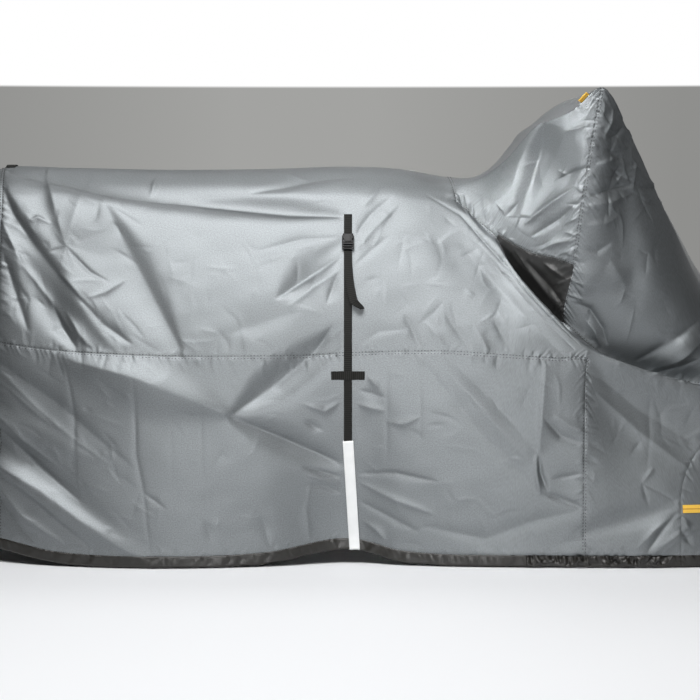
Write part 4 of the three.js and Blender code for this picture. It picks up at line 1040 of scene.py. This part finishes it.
# Buckle: a side-release socket with a raised middle and its two windows, closed over a plug that ends in a
# ladder of two bars for the web.
BUCKLE_UP, BUCKLE_HALF = 797, 15
heights = BUCKLE_UP + np.linspace(18, -18, 5)
middle, normal = laid(np.full(5, STRAP_ALONG), heights, BUCKLE_HALF, across=(1, 0), clear=0.6)
middle = in_metres("right", middle)
upward = middle[0] - middle[4]
upward /= np.linalg.norm(upward)
outward = np.cross((1, 0, 0), upward)
outward /= np.linalg.norm(outward)
buckle_origin = middle[2] + 0.003 * turned("right", normal[2])
buckle_ways = np.array([(1, 0, 0), upward, outward])
moulded("buckle_socket", (
    ((-11, -3.6, 0), (11, 20, 6.6)),         # body
    ((-7.5, -2, 1), (7.5, 15, 8.2)),         # raised middle
    ((-15, 8, 0.4), (15, 15.5, 6.2)),        # shoulders
    ((-15, -3.8, 0.4), (15, -0.4, 6.2)),     # mouth
    ((-13, 17.4, 0.2), (13, 21.1, 5.6)),     # bar of the anchor
    ((-14.4, 0, 1.4), (-12.2, 8, 5)),        # prongs in the windows
    ((12.2, 0, 1.4), (14.4, 8, 5)),
), buckle_origin, buckle_ways)
moulded("buckle_plug", (
    ((-15, -8.2, 0.2), (15, -4.2, 6.4)),     # collar
    ((-15, -21.1, 0.2), (-11.6, -4.6, 5.6)),  # sides of the ladder
    ((11.6, -21.1, 0.2), (15, -4.6, 5.6)),
    ((-14, -14.6, 1.6), (14, -11.6, 6)),     # its two bars
    ((-15, -21.1, 0.4), (15, -18, 6.2)),
), buckle_origin, buckle_ways)

# White reflective tape: glass beads under a clear skin, stitched down along both edges over the end of the
# web. The beads are drawn about 1 mm wide; real ones are less than a tenth of that. Soiled patches are about
# 22 mm wide.
reflective, tree, shader = new_material("white reflective tape")
layout = add(tree, "UVMap", settings={"uv_map": "cloth"})
beads = add(tree, "TexVoronoi", "Distance", {"feature": "DISTANCE_TO_EDGE"}, Vector=layout, Scale=900.0)
soiled = add(tree, "TexNoise", "Fac", Vector=layout, Scale=45.0, Detail=4.0)
tint = add(tree, "Mix", 2, {"data_type": "RGBA"}, _0=soiled, _6=linear("#d6d8d8"), _7=linear("#e6e7e7"))
wire(tree, shader, Base_Color=tint, Roughness=0.4,
     Normal=add(tree, "Bump", Strength=0.2, Distance=0.0003, Height=beads))
STRIP = {"top": 312, "foot": 36, "lean": 17, "width": 26, "thick": 1.0}
heights = np.arange(STRIP["top"], STRIP["foot"] - 1, -4.0)
lean = STRIP["lean"] * (STRIP["top"] - heights) / (STRIP["top"] - STRIP["foot"])
strip_middle, strip_normal = laid(STRAP_ALONG + lean, heights, STRIP["width"] / 2, across=(1, 0), clear=2.4)
ribbon("reflective_strip", strip_middle, strip_normal, STRIP["width"], STRIP["thick"], reflective)

# White polyester thread down both edges of the strip, 62 stitches to a row, drawn as large as those of the
# seams.
white_thread, tree, shader = new_material("white polyester thread")
wire(tree, shader, Base_Color=linear("#e2e3e2"), Roughness=0.6)
rows = []
for beside in (-10.8, 10.8):
    stops = np.linspace(0, len(heights) - 1, 62)
    middle, normal = (np.stack([np.interp(stops, np.arange(len(heights)), part) for part in table.T], axis=1)
                      for table in (strip_middle + (beside, 0, 0), strip_normal))
    rows.append((in_metres("right", middle + STRIP["thick"] * normal),
                 turned("right", np.gradient(middle, axis=0)), turned("right", normal)))
stitches("strip_stitching", rows, white_thread)

# Yellow grosgrain tape of the tag and the tab: a closely ribbed woven tape, with painted shade that darkens
# it along the middle, where it is folded. The ribs are drawn about twice as wide as real ones.
yellow, tree, shader = new_material("orange-yellow grosgrain tape")
layout = add(tree, "UVMap", settings={"uv_map": "cloth"})
across = add(tree, "SeparateXYZ", "Y", Vector=layout)
from_fold = add(tree, "Math", settings={"operation": "ABSOLUTE"}, _0=across)
# painted shade: darker orange within about 1.6 mm of the tape's middle line
fold_shade = add(tree, "MapRange", Value=from_fold, From_Min=0.0003, From_Max=0.0016)
ribs = add(tree, "TexWave", "Fac", {"bands_direction": "X"}, Vector=layout, Scale=wave_scale(1.974))
tint = add(tree, "Mix", 2, {"data_type": "RGBA"}, _0=fold_shade, _6=linear("#a86a1c"), _7=linear("#ebbd4a"))
wire(tree, shader, Base_Color=tint, Roughness=0.7,
     Normal=add(tree, "Bump", Strength=0.4, Distance=0.0003, Height=ribs))

# Front tab: a piece of the yellow tape, folded along its middle. It is sewn into the patch seam at its rear
# end and lies forward on the wheel patch.
TAB_REAR, TAB_FRONT, TAB_UP, TAB_WIDTH = 1803, 1873, 144.0, 20
alongs = np.linspace(TAB_REAR, TAB_FRONT, 24)
middle, normal = laid(alongs, np.full(24, TAB_UP), TAB_WIDTH / 2, across=(0, 1), clear=0.6)
ribbon("front_tab", middle, normal, TAB_WIDTH, 2.0, yellow)

# Mirror tag: a short piece of the yellow tape, folded and caught in the ridge seam with both edges, so that
# it stands out of it just behind the mirror's tip.
TAG_WIDTH, TAG_THICK = 10, 2.4
tag_u = np.linspace(12.32, 12.56, 16)
points, _ = cloth("right", tag_u, np.array([CREST], float))
rise = np.array([-0.45, 0.55, 0.75])
middle = points[:, 0] + 0.6 * rise
thick_way = np.cross(np.gradient(middle, axis=0), rise)
thick_way /= np.linalg.norm(thick_way, axis=1, keepdims=True)
middle = middle + 5.5 * rise / np.linalg.norm(rise) - TAG_THICK / 2 * thick_way
ribbon("mirror_tag", middle, thick_way, TAG_WIDTH, TAG_THICK, yellow)

# Top loop: a small loop of the black web across the top, just ahead of the rear seam. Both ends are sewn down
# on the saddle panel, and its middle stands 4 mm off it.
LOOP = {"along": 118.0, "section": 2.12, "half": 28, "width": 25, "rise": 3.5}
outs = np.linspace(-LOOP["half"], LOOP["half"], 25)
crown = form(np.array([LOOP["section"]]), np.linspace(0, 1.2, 60))[0]
rise = 0.4 + LOOP["rise"] * (1 - (outs / LOOP["half"]) ** 2)
ups = np.interp(np.abs(outs), crown[:, 1], crown[:, 2]) + rise
middle = np.stack([np.full(25, LOOP["along"]), outs, ups], axis=1)
ribbon("top_loop", middle, np.tile((0.0, 0, 1), (25, 1)), LOOP["width"], WEB["thick"], webbing)

# What each sheet was cut to before it was sewn, in metres and square metres, and what it hangs from. The
# saddle panel and the hood front carry the others and hang from none of them.
for piece, width, length, area, hangs_from in (
        (tail_panel, 0.56, 1.00, 0.49, [saddle_panel]),
        (saddle_panel, 1.40, 1.50, 1.55, []),
        (side_panel_right, 0.53, 1.50, 0.74, [saddle_panel]),
        (side_panel_left, 0.53, 1.50, 0.73, [saddle_panel]),
        (hood_back, 0.72, 0.36, 0.21, [hood_front]),
        (hood_flanks[0], 0.42, 0.46, 0.103, [hood_front]),
        (hood_flanks[1], 0.42, 0.46, 0.103, [hood_front]),
        (hood_front, 1.12, 1.00, 0.93, []),
        (gussets[0], 0.17, 0.20, 0.027, [hood_flanks[0]]),
        (gussets[1], 0.17, 0.20, 0.027, [hood_flanks[1]]),
        (fork_panel_right, 0.62, 0.95, 0.28, [hood_front]),
        (fork_panel_left, 0.62, 0.95, 0.28, [hood_front]),
        (wheel_patch_right, 0.39, 0.33, 0.112, [fork_panel_right]),
        (wheel_patch_left, 0.39, 0.33, 0.112, [fork_panel_left]),
        (hem_band_right, 0.031, 1.60, 0.049, [side_panel_right]),
        (hem_band_left, 0.031, 1.60, 0.049, [side_panel_left]),
        (hem_band_front, 0.031, 2.20, 0.068, [fork_panel_right, fork_panel_left])):
    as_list(hangs_from)

# Floor: a wide board under the cover in pale paint, with painted shade that darkens it to grey on both sides,
# where the studio light falls off.
HALF_FLOOR = 9
floor_mesh = bpy.data.meshes.new("floor")
corners = [(HALF_FLOOR * x, HALF_FLOOR * y, 0) for x, y in ((-1, -1), (1, -1), (1, 1), (-1, 1))]
floor_mesh.from_pydata(corners, [], [(0, 1, 2, 3)])
floor = bpy.data.objects.new("floor", floor_mesh)
bpy.context.collection.objects.link(floor)
paint, tree, shader = new_material("pale floor paint with painted shade")
ahead = add(tree, "SeparateXYZ", "X", Vector=add(tree, "TexCoord", "Object"))
aside = add(tree, "Math", settings={"operation": "ADD"}, _0=ahead, _1=0.2)
away = add(tree, "Math", settings={"operation": "ABSOLUTE"}, _0=aside)
# painted shade: the floor turns grey from 0.95 m to 1.7 m to each side of x = -0.2 m
shade = add(tree, "MapRange", Value=away, From_Min=0.95, From_Max=1.7)
tint = add(tree, "Mix", 2, {"data_type": "RGBA"}, _0=shade, _6=linear("#eff0f2"), _7=linear("#77787a"))
wire(tree, shader, Base_Color=tint, Roughness=0.6)
floor_mesh.materials.append(paint)

# Surround: a grey backdrop behind the cover, darker to both sides, with white paper above it. The rest is
# nearly black, so that the lamps alone light the cloth.
world = bpy.data.worlds.new("studio")
world.use_nodes = True
bpy.context.scene.world = world
tree = world.node_tree
way = add(tree, "TexCoord", "Generated")
ahead, back, height = (add(tree, "SeparateXYZ", axis, Vector=way) for axis in "XYZ")
behind = add(tree, "MapRange", Value=back, From_Min=0.7, From_Max=0.95)
aside = add(tree, "Math", settings={"operation": "ADD"}, _0=ahead, _1=0.02)
away = add(tree, "Math", settings={"operation": "ABSOLUTE"}, _0=aside)
fade = add(tree, "MapRange", Value=away, From_Min=0.03, From_Max=0.16)
grey = add(tree, "Mix", 2, {"data_type": "RGBA"}, _0=fade, _6=linear("#a3a3a1"), _7=linear("#8f8f8d"))
backdrop = add(tree, "Mix", 2, {"data_type": "RGBA"}, _0=behind, _6=linear("#161616"), _7=grey)
above = add(tree, "MapRange", Value=height, From_Min=0.048, From_Max=0.049)
below = add(tree, "MapRange", Value=height, From_Min=0.11, From_Max=0.13, To_Min=1.0, To_Max=0.0)
paper = add(tree, "Math", settings={"operation": "MULTIPLY"}, _0=above, _1=below)
tone = add(tree, "Mix", 2, {"data_type": "RGBA"}, _0=paper, _6=backdrop, _7=linear("#ffffff"))
wire(tree, tree.nodes["Background"], Color=tone)


def soft_box(name, place, target, width, height, power, spread):
    """A rectangular studio lamp at place, aimed at target; spread is the full angle of its beam in
    degrees."""
    lamp = bpy.data.lights.new(name, "AREA")
    lamp.shape = "RECTANGLE"
    lamp.size, lamp.size_y, lamp.energy, lamp.spread = width, height, power, math.radians(spread)
    holder = bpy.data.objects.new(name, lamp)
    bpy.context.collection.objects.link(holder)
    aim = np.array(target, float) - place
    holder.location = place
    holder.rotation_euler = (math.atan2(math.hypot(aim[0], aim[1]), -aim[2]), 0,
                             math.atan2(aim[1], aim[0]) - math.pi / 2)


# Light: a large key from above and in front, a narrow beam on the hood's flank, one on the lower side, and a
# long lamp over the top line.
soft_box("key", (-0.6, -2.6, 4.5), (-0.2, 0, 0.7), width=3.8, height=2.8, power=276, spread=180)
soft_box("flank", (-2.2, -1.3, 1.6), (0.47, -0.28, 0.93), width=0.8, height=0.8, power=1.7, spread=18)
soft_box("front", (-0.2, -7, 0.9), (-0.12, 0, 0.42), width=1.0, height=1.0, power=2.1, spread=17)
soft_box("top", (-0.3, 1.4, 3.4), (-0.3, 0, 0.9), width=2.6, height=1.0, power=21, spread=180)

# Camera: six metres from the middle on the near side, 0.9 m up and tipped down a little.
camera = bpy.data.objects.new("camera", bpy.data.cameras.new("camera"))
bpy.context.collection.objects.link(camera)
camera.data.sensor_width = 36
camera.data.lens = 119.8
camera.location = (-0.170, -6.0, 0.900)
camera.rotation_euler = (math.radians(90 - 3.66), 0, 0)
bpy.context.scene.camera = camera
bpy.context.scene.view_settings.view_transform = "Standard"
